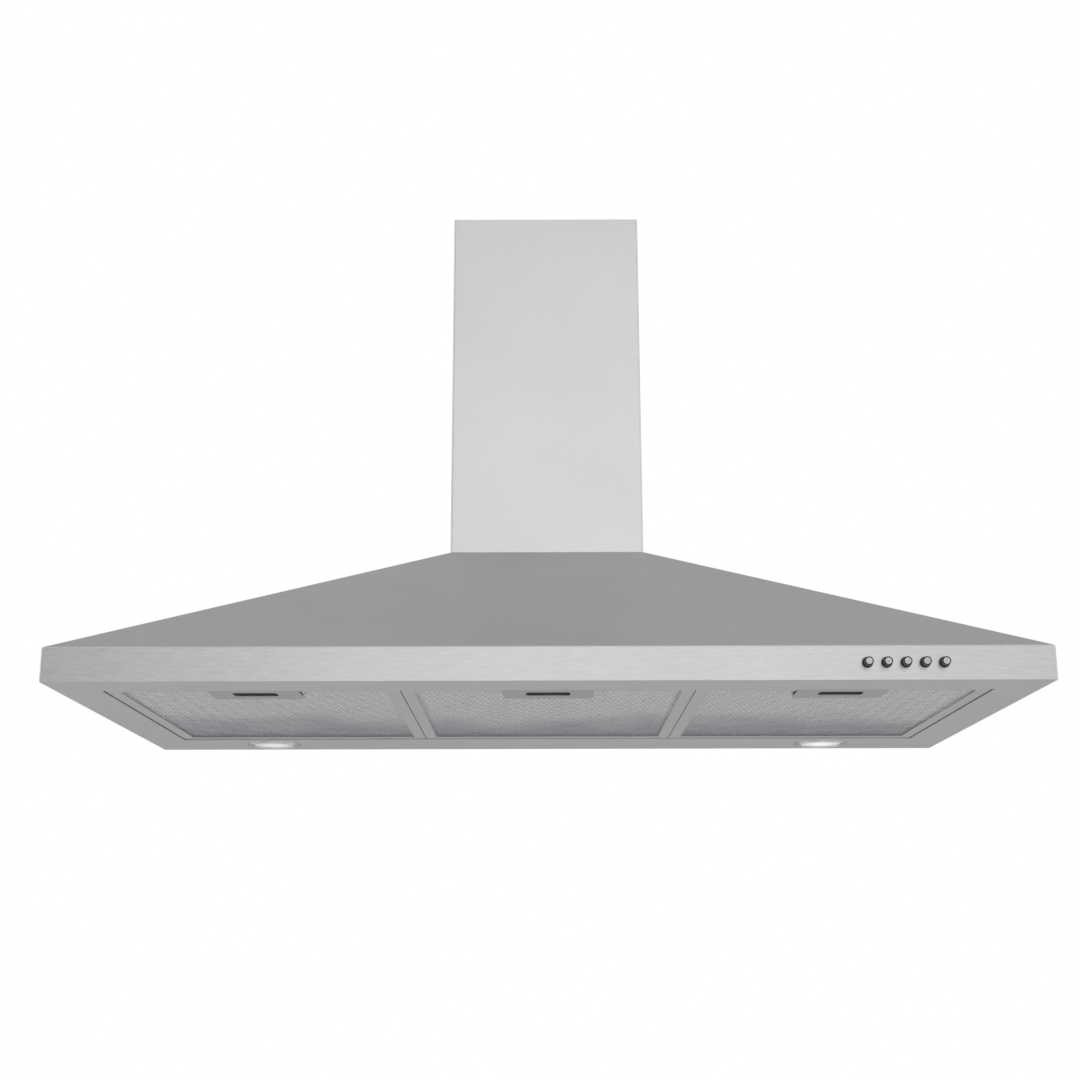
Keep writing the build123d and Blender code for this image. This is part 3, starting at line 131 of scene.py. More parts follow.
def feed(tree: NodeTree, node: Node, inputs: dict) -> None:
    """Gives a node's inputs what they need.

    Args:
        tree: the node tree that holds the node.
        node: the node.
        inputs: for each input a constant, a socket, or a node whose first output is meant.
    """
    for key, value in inputs.items():
        source = value.outputs[0] if isinstance(value, Node) else value
        if isinstance(source, NodeSocket):
            tree.links.new(source, node.inputs[key])
        else:
            node.inputs[key].default_value = source


def add_node(tree: NodeTree, kind: str, inputs: dict | None = None, **settings: object) -> Node:
    """Adds one node, sets it up and feeds it.

    Args:
        tree: the node tree that gets the node.
        kind: the node's type name, without the start that all shader nodes share.
        inputs: what its inputs get. A mix node takes its share at 0, two numbers at 2 and 3, and
            two colours at 6 and 7; it gives a number at output 0 and a colour at output 2.
        settings: properties of the node itself.

    Returns:
        The new node.
    """
    node = tree.nodes.new(f"ShaderNode{kind}")
    for key, value in settings.items():
        setattr(node, key, value)
    feed(tree, node, inputs or {})
    return node


def spun(bm: BMesh, profile: list[Pair], centre: Vector, axis: Vector, steps: int) -> None:
    """Turns a profile once round an axis and adds the result to a mesh.

    Args:
        bm: the mesh that gets the turned shape.
        profile: radius and height of each point, in metres, from one end to the other.
        centre: the point on the axis where the height is zero.
        axis: the direction in which the height grows, with a length of one.
        steps: how many flats the turn has.
    """
    radial = axis.orthogonal().normalized()
    verts = [bm.verts.new(centre + radial * radius + axis * height) for radius, height in profile]
    edges = [bm.edges.new(pair) for pair in zip(verts, verts[1:])]
    bmesh.ops.spin(
        bm,
        geom=verts + edges,
        cent=centre,
        axis=axis,
        angle=math.tau,
        steps=steps,
        use_merge=True,
        use_duplicate=False,
    )
    bmesh.ops.remove_doubles(bm, verts=bm.verts, dist=TOUCH / 5)
    bmesh.ops.recalc_face_normals(bm, faces=bm.faces)


def join(bm: BMesh, other: BMesh) -> None:
    """Adds one mesh to another and frees it.

    Args:
        bm: the mesh that grows.
        other: the mesh that is added, and freed.
    """
    loose = bpy.data.meshes.new("loose")
    other.to_mesh(loose)
    other.free()
    bm.from_mesh(loose)
    bpy.data.meshes.remove(loose)


def cut(bm: BMesh, place: Vector | Point, across: Vector | Point, clear: bool = False) -> None:
    """Cuts a mesh along a plane.

    Args:
        bm: the mesh.
        place: a point on the plane.
        across: the way that the plane faces.
        clear: whether what lies beyond the plane is taken away.
    """
    everything = bm.verts[:] + bm.edges[:] + bm.faces[:]
    bmesh.ops.bisect_plane(
        bm, geom=everything, dist=TOUCH, plane_co=place, plane_no=across, clear_outer=clear
    )


def rounded(radius: float, height: float, edge: float, flats: int = 5) -> list[Pair]:
    """Profile points of a rounded outer edge, from its side up to its top.

    Args:
        radius: the radius of the side.
        height: the height of the top.
        edge: the radius of the rounding.
        flats: how many flats the rounding has.

    Returns:
        Radius and height pairs.
    """
    turns = [math.pi / 2 * i / flats for i in range(flats + 1)]
    return [(radius - edge * (1 - math.cos(t)), height - edge * (1 - math.sin(t))) for t in turns]


def placed(name: str, bm: BMesh, material: Material) -> Object:
    """Puts a finished mesh into the scene.

    Args:
        name: the new object's name.
        bm: its mesh, in place, which is freed.
        material: its material.

    Returns:
        The new object.
    """
    mesh = bpy.data.meshes.new(name)
    bm.to_mesh(mesh)
    bm.free()
    mesh.materials.append(material)
    obj = bpy.data.objects.new(name, mesh)
    bpy.context.scene.collection.objects.link(obj)
    return obj


def piece(name: str, bm: BMesh, finish: Finish, body: str, stands_for: tuple[str, ...] = ()) -> Object:
    """Makes a finished mesh into a piece of the object.

    Args:
        name: the piece's name.
        bm: its mesh, in place, which is freed.
        finish: its finish.
        body: the body that it moves with.
        stands_for: the nodes of the frame that it replaces.

    Returns:
        The new object.
    """
    obj = placed(name, bm, finish.material())
    obj.data.shade_smooth()
    obj.data.set_sharp_from_angle(angle=CREASE)
    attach(obj, body)
    if stands_for:
        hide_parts(*stands_for)
    LOG.info("%s rides on %s in %s", name, body, finish.title)
    return obj


def dress(frame: dict, finish: Finish, *nodes: str) -> None:
    """Gives a finish to parts of the frame whose shape is already right.

    Args:
        frame: the loaded frame.
        finish: the finish.
        nodes: the names of the parts.
    """
    for name in nodes:
        materials = frame["nodes"][name].data.materials
        materials.clear()
        materials.append(finish.material())
        LOG.info("%s is finished in %s", name, finish.title)


# --- Finishes ---


@dataclass
class Surface:
    """A material in the making: its nodes, its shader, and where each point is and faces."""

    tree: NodeTree
    shader: Node
    here: NodeSocket
    facing: NodeSocket

    def grain(self, size: float | Point, detail: float = 2.0) -> Node:
        """Adds noise whose grain has a real size.

        Args:
            size: the grain's length in metres, one for all axes or one for each.
            detail: how many finer layers the noise has.

        Returns:
            The noise, from 0 to 1.
        """
        lengths = size if isinstance(size, tuple) else (size,) * 3
        scale = tuple(1 / length for length in lengths)
        sized = add_node(self.tree, "Mapping", {"Vector": self.here, "Scale": scale})
        look = {"Vector": sized, "Scale": 1.0, "Detail": detail, "Roughness": LAYER_WEIGHT}
        return add_node(self.tree, "TexNoise", look)

    def tint(self, source: Node, low: str, high: str, span: dict = NOISE) -> None:
        """Lets the colour follow a pattern.

        Args:
            source: the pattern.
            low: the colour at the start of its range, as hex.
            high: the colour at the end of its range, as hex.
            span: its range.
        """
        factor = add_node(self.tree, "MapRange", {"Value": source, **span})
        tones = {0: factor, 6: linear(low), 7: linear(high)}
        mixed = add_node(self.tree, "Mix", tones, data_type="RGBA")
        feed(self.tree, self.shader, {"Base Color": mixed.outputs[2]})

    def gloss(
        self, source: Node | NodeSocket, low: float, high: float, span: dict = NOISE
    ) -> None:
        """Lets the roughness follow a pattern.

        Args:
            source: the pattern.
            low: the roughness at the start of its range.
            high: the roughness at the end of its range.
            span: its range.
        """
        ends = {**span, "To Min": low, "To Max": high}
        level = add_node(self.tree, "MapRange", {"Value": source, **ends})
        feed(self.tree, self.shader, {"Roughness": level})

    def relief(self, source: Node, depth: float, strength: float) -> None:
        """Raises the surface by a pattern.

        Args:
            source: the pattern.
            depth: how far it rises, in metres.
            strength: how much of it shows.
        """
        rise = {"Height": source, "Distance": depth, "Strength": strength}
        feed(self.tree, self.shader, {"Normal": add_node(self.tree, "Bump", rise)})


@dataclass(frozen=True)
class Finish:
    """A surface as a maker would order it: its name, its slot, its two tones and its gloss."""

    title: str
    slot: str
    colour: str
    dark: str
    roughness: float
    metallic: float = 0.0

    def material(self) -> Material:
        """Makes the material, or finds it if it is made already.

        Returns:
            The material, with its pattern in nodes.
        """
        made = bpy.data.materials.get(self.title)
        if made:
            return made
        made = bpy.data.materials.new(self.title)
        made.use_nodes = True
        tree = made.node_tree
        tree.nodes.clear()
        look = {
            "Base Color": linear(self.colour),
            "Roughness": self.roughness,
            "Metallic": self.metallic,
        }
        shader = add_node(tree, "BsdfPrincipled", look)
        add_node(tree, "OutputMaterial", {"Surface": shader})
        place = add_node(tree, "TexCoord")
        self.pattern(Surface(tree, shader, place.outputs["Object"], place.outputs["Normal"]))
        return made

    def pattern(self, surface: Surface) -> None:
        """Adds what the surface shows beyond its colour; each finish has its own."""


@dataclass(frozen=True)
class BrushedSteel(Finish):
    """Brushed stainless or rolled aluminium: level scratches that draw reflections out."""

    metallic: float = 1.0
    scratch_length: float = 16 * MM
    # A real scratch is a tenth of a millimetre wide; it is drawn wider so that it shows.
    scratch_width: float = 2.4 * MM
    scratch_depth: float = 0.02 * MM
    scratch_relief: float = 0.04
    hair_length: float = 70 * MM
    hair_width: float = 0.35 * MM
    hair_share: float = 0.35
    cloud: float = 160 * MM
    cloud_share: float = 0.25
    swing: float = 0.05
    anisotropy: float = 0.55
    # Across the level scratches, leaning back as it climbs.
    tangent: Point = (0.0, 0.5, 0.87)
    # Upright faces show their scratches; faces that look up or down catch them end on.
    calm: float = 0.8
    calm_start: float = 0.1
    calm_end: float = 0.4

    def pattern(self, surface: Surface) -> None:
        """Draws scratches and finer hairlines, over a slow drift of tone.

        Args:
            surface: the material in the making.
        """
        tree = surface.tree
        facing = add_node(tree, "SeparateXYZ", {"Vector": surface.facing})
        squares = []
        for axis in "XZ":
            way = facing.outputs[axis]
            squares.append(add_node(tree, "Math", {0: way, 1: way}, operation="MULTIPLY"))
        flank, steep = squares
        sideways = add_node(tree, "Math", {0: flank, 1: 0.5}, operation="GREATER_THAN")
        scratches = self.brushed(surface, sideways, self.scratch_length, self.scratch_width)
        hairs = self.brushed(surface, sideways, self.hair_length, self.hair_width)
        calming = {"From Min": self.calm_start, "From Max": self.calm_end, "To Max": self.calm}
        quiet = add_node(tree, "MapRange", {"Value": steep, **calming})
        calmed = add_node(tree, "Mix", {0: quiet, 2: scratches, 3: 0.5}, data_type="FLOAT")
        layers = {0: self.hair_share, 2: calmed, 3: hairs}
        lines = add_node(tree, "Mix", layers, data_type="FLOAT")
        clouds = surface.grain(self.cloud)
        terms = {}
        for source, share in ((lines, 1 - self.cloud_share), (clouds, self.cloud_share)):
            ends = {"Value": source, **NOISE, "To Max": share}
            terms[len(terms)] = add_node(tree, "MapRange", ends)
        tone = add_node(tree, "Math", terms, operation="ADD")
        surface.tint(tone, self.dark, self.colour, WHOLE)
        surface.gloss(lines, self.roughness - self.swing, self.roughness + self.swing)
        surface.relief(lines, self.scratch_depth, self.scratch_relief)
        across = add_node(tree, "CombineXYZ", dict(zip("XYZ", self.tangent)))
        feed(tree, surface.shader, {"Anisotropic": self.anisotropy, "Tangent": across})

    def brushed(self, surface: Surface, sideways: Node, long: float, fine: float) -> Node:
        """Adds lines that run along X, or along Y on the faces that look sideways.

        Args:
            surface: the material in the making.
            sideways: 1 on the faces that look sideways.
            long: a line's length.
            fine: its width.

        Returns:
            The lines, from 0 to 1.
        """
        front = surface.grain((long, fine, fine), detail=1.0)
        flank = surface.grain((fine, long, fine), detail=1.0)
        ways = {0: sideways, 2: front, 3: flank}
        return add_node(surface.tree, "Mix", ways, data_type="FLOAT")


@dataclass(frozen=True)
class GalvanisedSteel(Finish):
    """Hot-dip galvanised sheet: dull zinc with flower-like crystals, each at its own slant."""

    metallic: float = 1.0
    crystal: float = 9 * MM
    feather: float = 1.5 * MM
    feather_share: float = 0.25
    swing: float = 0.1
    depth: float = 0.02 * MM
    strength: float = 0.3

    def pattern(self, surface: Surface) -> None:
        """Draws crystals as cells, with feathered edges from a little noise.

        Args:
            surface: the material in the making.
        """
        tree = surface.tree
        size = {"Vector": surface.here, "Scale": 1 / self.crystal, "Randomness": 1.0}
        cells = add_node(tree, "TexVoronoi", size)
        shade = add_node(tree, "SeparateColor", {"Color": cells.outputs["Color"]})
        feather = surface.grain(self.feather, detail=4.0)
        ends = {"To Min": -self.feather_share, "To Max": self.feather_share}
        edge = add_node(tree, "MapRange", {"Value": feather, **NOISE, **ends})
        tone = add_node(tree, "Math", {0: shade.outputs["Red"], 1: edge}, operation="ADD")
        surface.tint(tone, self.dark, self.colour, WHOLE)
        low, high = self.roughness - self.swing, self.roughness + self.swing
        surface.gloss(shade.outputs["Green"], low, high, WHOLE)
        surface.relief(feather, self.depth, self.strength)


@dataclass(frozen=True)
class PlatedMetal(Finish):
    """Plated or rolled metal: even, with faint handling marks and a fine tooth."""

    metallic: float = 1.0
    mark: float = 6 * MM
    tooth: float = 0.5 * MM
    depth: float = 0.01 * MM
    strength: float = 0.3
    dull: float = 0.06
    bright: float = 0.04

    def pattern(self, surface: Surface) -> None:
        """Puts marks in the colour and the gloss, and tooth in the normal.

        Args:
            surface: the material in the making.
        """
        marks = surface.grain(self.mark, detail=4.0)
        surface.tint(marks, self.dark, self.colour)
        surface.gloss(marks, self.roughness + self.dull, self.roughness - self.bright)
        surface.relief(surface.grain(self.tooth), self.depth, self.strength)


@dataclass(frozen=True)
class MouldedPlastic(Finish):
    """Injection-moulded plastic with a spark-eroded texture: matt, very finely pebbled."""

    pebble: float = 0.6 * MM
    depth: float = 0.03 * MM
    strength: float = 0.4
    flow: float = 25 * MM
    dull: float = 0.08
    bright: float = 0.05

    def pattern(self, surface: Surface) -> None:
        """Puts flow marks in the colour, and pebbles in the normal and the gloss.

        Args:
            surface: the material in the making.
        """
        pebbles = surface.grain(self.pebble)
        surface.tint(surface.grain(self.flow, detail=3.0), self.dark, self.colour)
        surface.gloss(pebbles, self.roughness - self.bright, self.roughness + self.dull)
        surface.relief(pebbles, self.depth, self.strength)


@dataclass(frozen=True)
class FrostedGlass(Finish):
    """Pressed lamp glass, frosted inside and lit from behind: it glows most in the middle."""

    glow: float = 0.6
    dimming: float = 0.35
    light: str = "#FFFDF6"
    ior: float = 1.5
    frost: float = 1.2 * MM
    depth: float = 0.05 * MM
    strength: float = 0.4
    swing: float = 0.06
    centre: Point = (0.0, 0.0, 0.0)
    reach: float = 24 * MM

    def pattern(self, surface: Surface) -> None:
        """Lets light fall off from the bulb's centre, behind a pebbled pane.

        Args:
            surface: the material in the making.
        """
        tree = surface.tree
        span = {0: surface.here, 1: self.centre}
        centred = add_node(tree, "VectorMath", span, operation="SUBTRACT")
        away = add_node(tree, "VectorMath", {0: centred}, operation="LENGTH")
        fall = {"From Max": self.reach, "To Min": self.glow, "To Max": self.glow * self.dimming}
        lit = add_node(tree, "MapRange", {"Value": away.outputs["Value"], **fall})
        light = {"Emission Strength": lit, "Emission Color": linear(self.light), "IOR": self.ior}
        feed(tree, surface.shader, light)
        frost = surface.grain(self.frost)
        surface.gloss(frost, self.roughness - self.swing, self.roughness + self.swing)
        surface.tint(frost, self.dark, self.colour)
        surface.relief(frost, self.depth, self.strength)


@dataclass(frozen=True)
class FilterMesh(Finish):
    """Expanded aluminium foil in layers: bright strands, with a painted reflection that makes them
    greyer and bluer towards the back.
    """

    metallic: float = 0.5
    # The painted reflection turns from the front tone to the darker rear tone between these two places
    # along Y.
    front_y: float = -0.26
    rear_y: float = -0.15
    wave: float = 90 * MM
    sway: float = 40 * MM
    # Painted shade where the layers behind cross the outer one: dapples that fan out a little towards
    # the front.
    dapple_width: float = 4.7 * MM
    dapple_length: float = 27 * MM
    dapple_fan: float = -0.49
    dapple_level: float = 0.785
    painted_dapple_shade: str = "#CACACA"
    dapple_blur: float = 0.45
    rolled: float = 1.5 * MM
    swing: float = 0.08

    def pattern(self, surface: Surface) -> None:
        """Draws a painted reflection, a wavy change of tone along the filter, painted dapples of shade,
        and a rolled grain.

        Args:
            surface: the material in the making.
        """
        tree = surface.tree
        where = add_node(tree, "SeparateXYZ", {"Vector": surface.here})
        # Painted reflection: the tone turns to the darker rear one towards the back, along a wavy line.
        swell = surface.grain(self.wave, detail=1.0)
        ends = {"To Min": -self.sway, "To Max": self.sway}
        shift = add_node(tree, "MapRange", {"Value": swell, **NOISE, **ends})
        shifted = add_node(tree, "Math", {0: where.outputs["Y"], 1: shift}, operation="ADD")
        ends = {"From Min": self.front_y, "From Max": self.rear_y}
        depth = add_node(tree, "MapRange", {"Value": shifted, **ends})
        tones = {0: depth, 6: linear(self.colour), 7: linear(self.dark)}
        painted_reflection = add_node(tree, "Mix", tones, data_type="RGBA")
        # Painted shade where the layers cross: dapples multiplied into the colour.
        terms = {0: where.outputs["Y"], 1: self.dapple_fan, 2: self.dapple_level}
        fan = add_node(tree, "Math", terms, operation="MULTIPLY_ADD")
        fanned = add_node(tree, "Math", {0: where.outputs["X"], 1: fan}, operation="MULTIPLY")
        ripples = {
            0: self.ripple(tree, fanned.outputs[0], self.dapple_width),
            1: self.ripple(tree, where.outputs["Y"], self.dapple_length),
        }
        crossing = add_node(tree, "Math", ripples, operation="MULTIPLY")
        ends = {"From Min": -self.dapple_blur, "From Max": self.dapple_blur}
        share = add_node(tree, "MapRange", {"Value": crossing, **ends})
        tones = {0: share, 6: painted_reflection.outputs[2], 7: linear(self.painted_dapple_shade)}
        painted_dapples = add_node(tree, "Mix", tones, data_type="RGBA", blend_type="MULTIPLY")
        feed(tree, surface.shader, {"Base Color": painted_dapples.outputs[2]})
        rolled = surface.grain(self.rolled)
        surface.gloss(rolled, self.roughness - self.swing, self.roughness + self.swing)

    def ripple(self, tree: NodeTree, along: NodeSocket, length: float) -> Node:
        """Swings between -1 and 1 along one axis.

        Args:
            tree: the material's node tree.
            along: the place along the axis, in metres.
            length: the length of one full swing, in metres.

        Returns:
            The swing.
        """
        terms = {0: along, 1: math.tau / length}
        turns = add_node(tree, "Math", terms, operation="MULTIPLY")
        return add_node(tree, "Math", {0: turns}, operation="SINE")


# Pale, with fine level scratches that show only as a faint shimmer.
SHEET = BrushedSteel("brushed stainless sheet", "stainless_sheet", "#E2E2E2", "#CFCFCF", 0.30)
# The same sheet, painted a little whiter on the chimney: painted light.
LIT_DUCT_SHEET = BrushedSteel("brushed chimney sheet with painted light", "stainless_sheet", "#E9E9E9", "#DBDBDB", 0.30)
# The same sheet, painted duller and greyer as painted shade, for the underside seen from below.
SHADED_PANEL = BrushedSteel("brushed underside panel with painted shade", "panel_steel", "#CCCCCC", "#BCBCBC", 0.33)
# Dull blue-grey, with crystals that catch the light one by one.
GALVANISED = GalvanisedSteel("galvanised sheet", "galvanised_steel", "#C4C8CA", "#9AA0A3", 0.42)
# Soft grey, with long faint streaks from the rolls.
FRAME_ALUMINIUM = BrushedSteel(
    "rolled aluminium frame", "filter_aluminium", "#C6C6C6", "#BABABA", 0.34, scratch_length=30 * MM
)
# Bright strands that sparkle, with a painted reflection that drifts from white to blue-grey towards the
# back.
MESH = FilterMesh("expanded aluminium foil", "mesh_aluminium", "#F8F8F8", "#D4D5DB", 0.34)
# Matt crumpled foil that fills the gaps between the strands with a light grey, under the same painted
# reflection and painted dapples of shade.
PAD = FilterMesh("folded aluminium pad", "mesh_aluminium", "#F8F8F8", "#BCBDC4", 0.5, metallic=0.1)
# A darker steel than the frame, so that the latch stands out a little.
LATCH_STEEL = BrushedSteel("pressed latch steel", "latch_steel", "#B8B8B8", "#AAAAAA", 0.32)
# Dark and matt, so that the finger slot reads as a hole.
LATCH_PLASTIC = MouldedPlastic("dark nylon", "latch_plastic", "#5C5C5D", "#4A4A4B", 0.45)
# Thin bright highlights along each coil.
SPRING_WIRE = PlatedMetal("drawn spring wire", "spring_steel", "#B4B4B2", "#8F8F8D", 0.28)
# A cold silver gleam on every head.
ZINC = PlatedMetal("bright zinc plate", "zinc_screws", "#C9CBCC", "#AEB1B3", 0.25, mark=3 * MM)
# A soft silver ring without sharp reflections.
CHROME = PlatedMetal("satin chrome plate", "lamp_chrome", "#C8C9CA", "#BCBDBE", 0.32, mark=12 * MM)
# Grainy light grey, as it leaves the mould.
CAST = PlatedMetal(
    "cast aluminium", "lamp_aluminium", "#B9BBBC", "#9EA0A1", 0.45, tooth=1.2 * MM, depth=0.06 * MM
)
# Black with a low sheen, which rings each bright cap.
BUTTON_SLEEVE = MouldedPlastic("black button plastic", "button_plastic", "#202021", "#181819", 0.34)
# Pale silver discs, the brightest spots on the lip.
BUTTON_FACE = PlatedMetal("satin button cap", "button_plastic", "#D6D7D9", "#C4C5C7", 0.3, mark=3 * MM)
# Black with a low sheen.
BEZEL_PLASTIC = MouldedPlastic("black bezel plastic", "bezel_plastic", "#242425", "#1B1B1C", 0.32)
# Dark grey and matt.
SWITCH_PLASTIC = MouldedPlastic("grey polyamide", "switch_plastic", "#4A4C4E", "#3E4042", 0.5)
# Warm yellow glints.
BRASS = PlatedMetal("stamped brass", "brass_terminals", "#D8B65C", "#B8943F", 0.26, mark=2 * MM)
# Creamy off-white and matt.
HOUSING = MouldedPlastic("white flame-safe plastic", "housing_plastic", "#C9C8C2", "#BDBCB5", 0.48)
# Near black, with a slight sheen on the blades.
IMPELLER_PLASTIC = MouldedPlastic("black fan plastic", "impeller_plastic", "#2B2C2D", "#1F2021", 0.42)
# Slate grey with the orange-peel gloss of thick paint.
ENAMEL = MouldedPlastic(
    "baked motor enamel", "motor_enamel", "#3B3E42", "#303337", 0.35, pebble=1.6 * MM, depth=0.04 * MM
)
# A clean bright bar.
SHAFT = PlatedMetal("ground shaft steel", "shaft_steel", "#C8C8C6", "#B2B2B0", 0.18)
# Warm pale grey with a soft gloss.
CAPACITOR = MouldedPlastic("capacitor case", "capacitor_case", "#D6D5CF", "#CAC9C2", 0.38)
# Soft black that gives no highlight.
RUBBER = MouldedPlastic("grommet rubber", "grommet_rubber", "#232323", "#1A1A1A", 0.7, pebble=1 * MM)


# --- Sub-assemblies ---


@dataclass
class Shell:
    """The sheet-metal body: canopy, panels, chimney covers and the wall bracket."""

    chimney: tuple[str, ...] = ("lower_chimney", "upper_chimney")
    hidden: tuple[str, ...] = ("back_panel", "chimney_bracket", "filter_rail_left", "filter_rail_right")

    def build(self, frame: dict) -> None:
        """Gives the sheets their brushed and galvanised finishes.

        Args:
            frame: the loaded frame.
        """
        dress(frame, SHEET, "canopy_shell")
        # The chimney covers get the copy of the sheet painted lighter: painted light.
        dress(frame, LIT_DUCT_SHEET, *self.chimney)
        # The underside panel gets the copy of the sheet painted darker: painted shade.
        dress(frame, SHADED_PANEL, "underside_panel")
        dress(frame, GALVANISED, *self.hidden)


@dataclass
class GreaseFilter:
    """One filter cassette: a folded frame around expanded mesh, with its pull latch."""

    side: Side
    front_long: float = 9.0 * MM
    front_short: float = 5.5 * MM
    rear_long: float = 11.0 * MM
    rear_short: float = 6.2 * MM
    strand: float = 0.95 * MM
    foil: float = 0.35 * MM
    layer_gap: float = 1.6 * MM
    pad_wave: float = 8 * MM
    pad_rise: float = 1.2 * MM
    pad_gap: float = 3.6 * MM
    # The pad stops short of the frame behind, which leaves a row of dark cells.
    pad_stop: float = 10 * MM
    pad_margin: float = 1.0 * MM
    play: float = 1.0 * MM
    notch: Point = (0.0, 0.0, 0.0)
    wire: float = 0.5 * MM
    wire_flats: int = 10
    turns: int = 5
    turn_steps: int = 36
    # How far the latch slides.
    travel: float = 4.0 * MM

    def build(self, frame: dict) -> None:
        """Finishes the cassette and lays its mesh.

        Args:
            frame: the loaded frame.
        """
        name = self.side.value
        dress(frame, FRAME_ALUMINIUM, f"filter_frame_{name}")
        dress(frame, LATCH_STEEL, f"latch_plate_{name}")
        dress(frame, LATCH_PLASTIC, f"latch_slider_{name}")
        dress(frame, ZINC, f"latch_rivets_{name}")
        low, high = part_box(f"filter_mesh_{name}")
        plate_low, plate_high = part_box(f"latch_plate_{name}")
        self.notch = (plate_low.x - self.play, plate_high.x + self.play, plate_high.y + 2 * self.play)
        bm = bmesh.new()
        self.lattice(bm, low, high, self.front_short, self.front_long, low.z)
        self.lattice(bm, low, high, self.rear_short, self.rear_long, low.z + self.layer_gap)
        piece(f"expanded_mesh_{name}", bm, MESH, f"filter_{name}", (f"filter_mesh_{name}",))
        pad = bmesh.new()
        self.pad(pad, low, high)
        piece(f"mesh_pad_{name}", pad, PAD, f"filter_{name}")
        self.springs(name)

    def lattice(
        self, bm: BMesh, low: Vector, high: Vector, short_way: float, long_way: float, level: float
    ) -> None:
        """Lays one layer of expanded foil: diamonds whose long way runs from front to rear.

        Args:
            bm: the mesh that gets the layer.
            low: the lowest corner of the space that the mesh fills.
            high: its highest corner.
            short_way: the diamonds' width.
            long_way: their length.
            level: the layer's underside.
        """
        columns = (high.x - low.x) / short_way
        rows = (high.y - low.y) / long_way
        cells = math.ceil(columns + rows) + 2
        foil = bmesh.new()
        bmesh.ops.create_grid(foil, x_segments=cells, y_segments=cells, size=cells / 2)
        turn = Matrix.Rotation(math.pi / 4, 4, "Z")
        stretch = Matrix.Diagonal((short_way / math.sqrt(2), long_way / math.sqrt(2), 1, 1))
        there = Matrix.Translation(((low.x + high.x) / 2, (low.y + high.y) / 2, 0))
        bmesh.ops.transform(foil, matrix=there @ stretch @ turn, verts=foil.verts)
        inset = self.strand / 2
        for corner, sense in ((low, -1), (high, 1)):
            for outward in (Vector((sense, 0, 0)), Vector((0, sense, 0))):
                cut(foil, Vector((corner.x, corner.y, 0)) - outward * inset, outward, clear=True)
        self.cut_notch(foil, inset)
        # The notch's cuts run on across the whole layer; only what borders it stays.
        spans = {edge: edge.verts[1].co - edge.verts[0].co for edge in foil.edges}
        spare = [
            edge
            for edge, span in spans.items()
            if len(edge.link_faces) == 2 and min(abs(span.x), abs(span.y)) < TOUCH
        ]
        bmesh.ops.dissolve_edges(foil, edges=spare, use_verts=True)
        bmesh.ops.wireframe(
            foil,
            faces=foil.faces,
            thickness=self.strand,
            offset=0.0,
            use_replace=True,
            use_boundary=True,
            use_even_offset=True,
        )
        bmesh.ops.scale(foil, vec=(1, 1, self.foil / self.strand), verts=foil.verts)
        bmesh.ops.translate(foil, vec=(0, 0, level + self.foil / 2), verts=foil.verts)
        join(bm, foil)

    def cut_notch(self, bm: BMesh, margin: float) -> None:
        """Cuts a flat layer away where the latch is.

        Args:
            bm: the layer.
            margin: how much wider than the notch the cut is.
        """
        left, right, rear = self.notch
        left, right, rear = left - margin, right + margin, rear + margin
        for place, across in (
            ((left, 0, 0), (1, 0, 0)),
            ((right, 0, 0), (1, 0, 0)),
            ((0, rear, 0), (0, 1, 0)),
        ):
            cut(bm, place, across)
        middles = {face: face.calc_center_median() for face in bm.faces}
        inside = [face for face, at in middles.items() if left < at.x < right and at.y < rear]
        bmesh.ops.delete(bm, geom=inside, context="FACES")

    def pad(self, bm: BMesh, low: Vector, high: Vector) -> None:
        """Adds the folded foil pad that stands behind the outer mesh.

        Args:
            bm: the mesh that gets the pad.
            low: the lowest corner of the space that the mesh fills.
            high: its highest corner.
        """
        front, rear = low.y + self.pad_margin, high.y - self.pad_stop
        steps = 4 * math.ceil((high.x - low.x) / self.pad_wave)
        made = bmesh.ops.create_grid(bm, x_segments=steps, y_segments=2, size=0.5)
        stretch = Matrix.Diagonal((high.x - low.x - 2 * self.pad_margin, rear - front, 1, 1))
        there = Matrix.Translation(((low.x + high.x) / 2, (front + rear) / 2, low.z + self.pad_gap))
        bmesh.ops.transform(bm, matrix=there @ stretch, verts=made["verts"])
        self.cut_notch(bm, -self.play / 2)
        for vert in bm.verts:
            vert.co.z += self.pad_rise * math.sin(math.tau * (vert.co.x - low.x) / self.pad_wave)

    def springs(self, name: str) -> None:
        """Winds the latch's two return springs.

        Args:
            name: the side that the filter is on.
        """
        low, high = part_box(f"latch_springs_{name}")
        radius = (high.z - low.z) / 2
        length = high.y - low.y
        steps = self.turns * self.turn_steps
        both = bmesh.new()
        for middle in (low.x + radius, high.x - radius):
            centre = Vector((middle, low.y + self.wire / 2, (low.z + high.z) / 2))
            coil = bmesh.new()
            bmesh.ops.create_circle(coil, segments=self.wire_flats, radius=self.wire / 2)
            start = Matrix.Translation(centre + Vector((radius - self.wire / 2, 0, 0)))
            bmesh.ops.transform(coil, matrix=start, verts=coil.verts)
            bmesh.ops.spin(
                coil,
                geom=coil.verts[:] + coil.edges[:],
                cent=centre,
                axis=(0, 1, 0),
                dvec=(0, (length - self.wire) / steps, 0),
                angle=math.tau * self.turns,
                steps=steps,
                use_merge=False,
                use_duplicate=False,
            )
            bmesh.ops.holes_fill(coil, edges=coil.edges, sides=0)
            bmesh.ops.recalc_face_normals(coil, faces=coil.faces)
            join(both, coil)
        old = (f"latch_springs_{name}",)
        made = piece(f"latch_coils_{name}", both, SPRING_WIRE, f"filter_{name}", old)
        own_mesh(made)


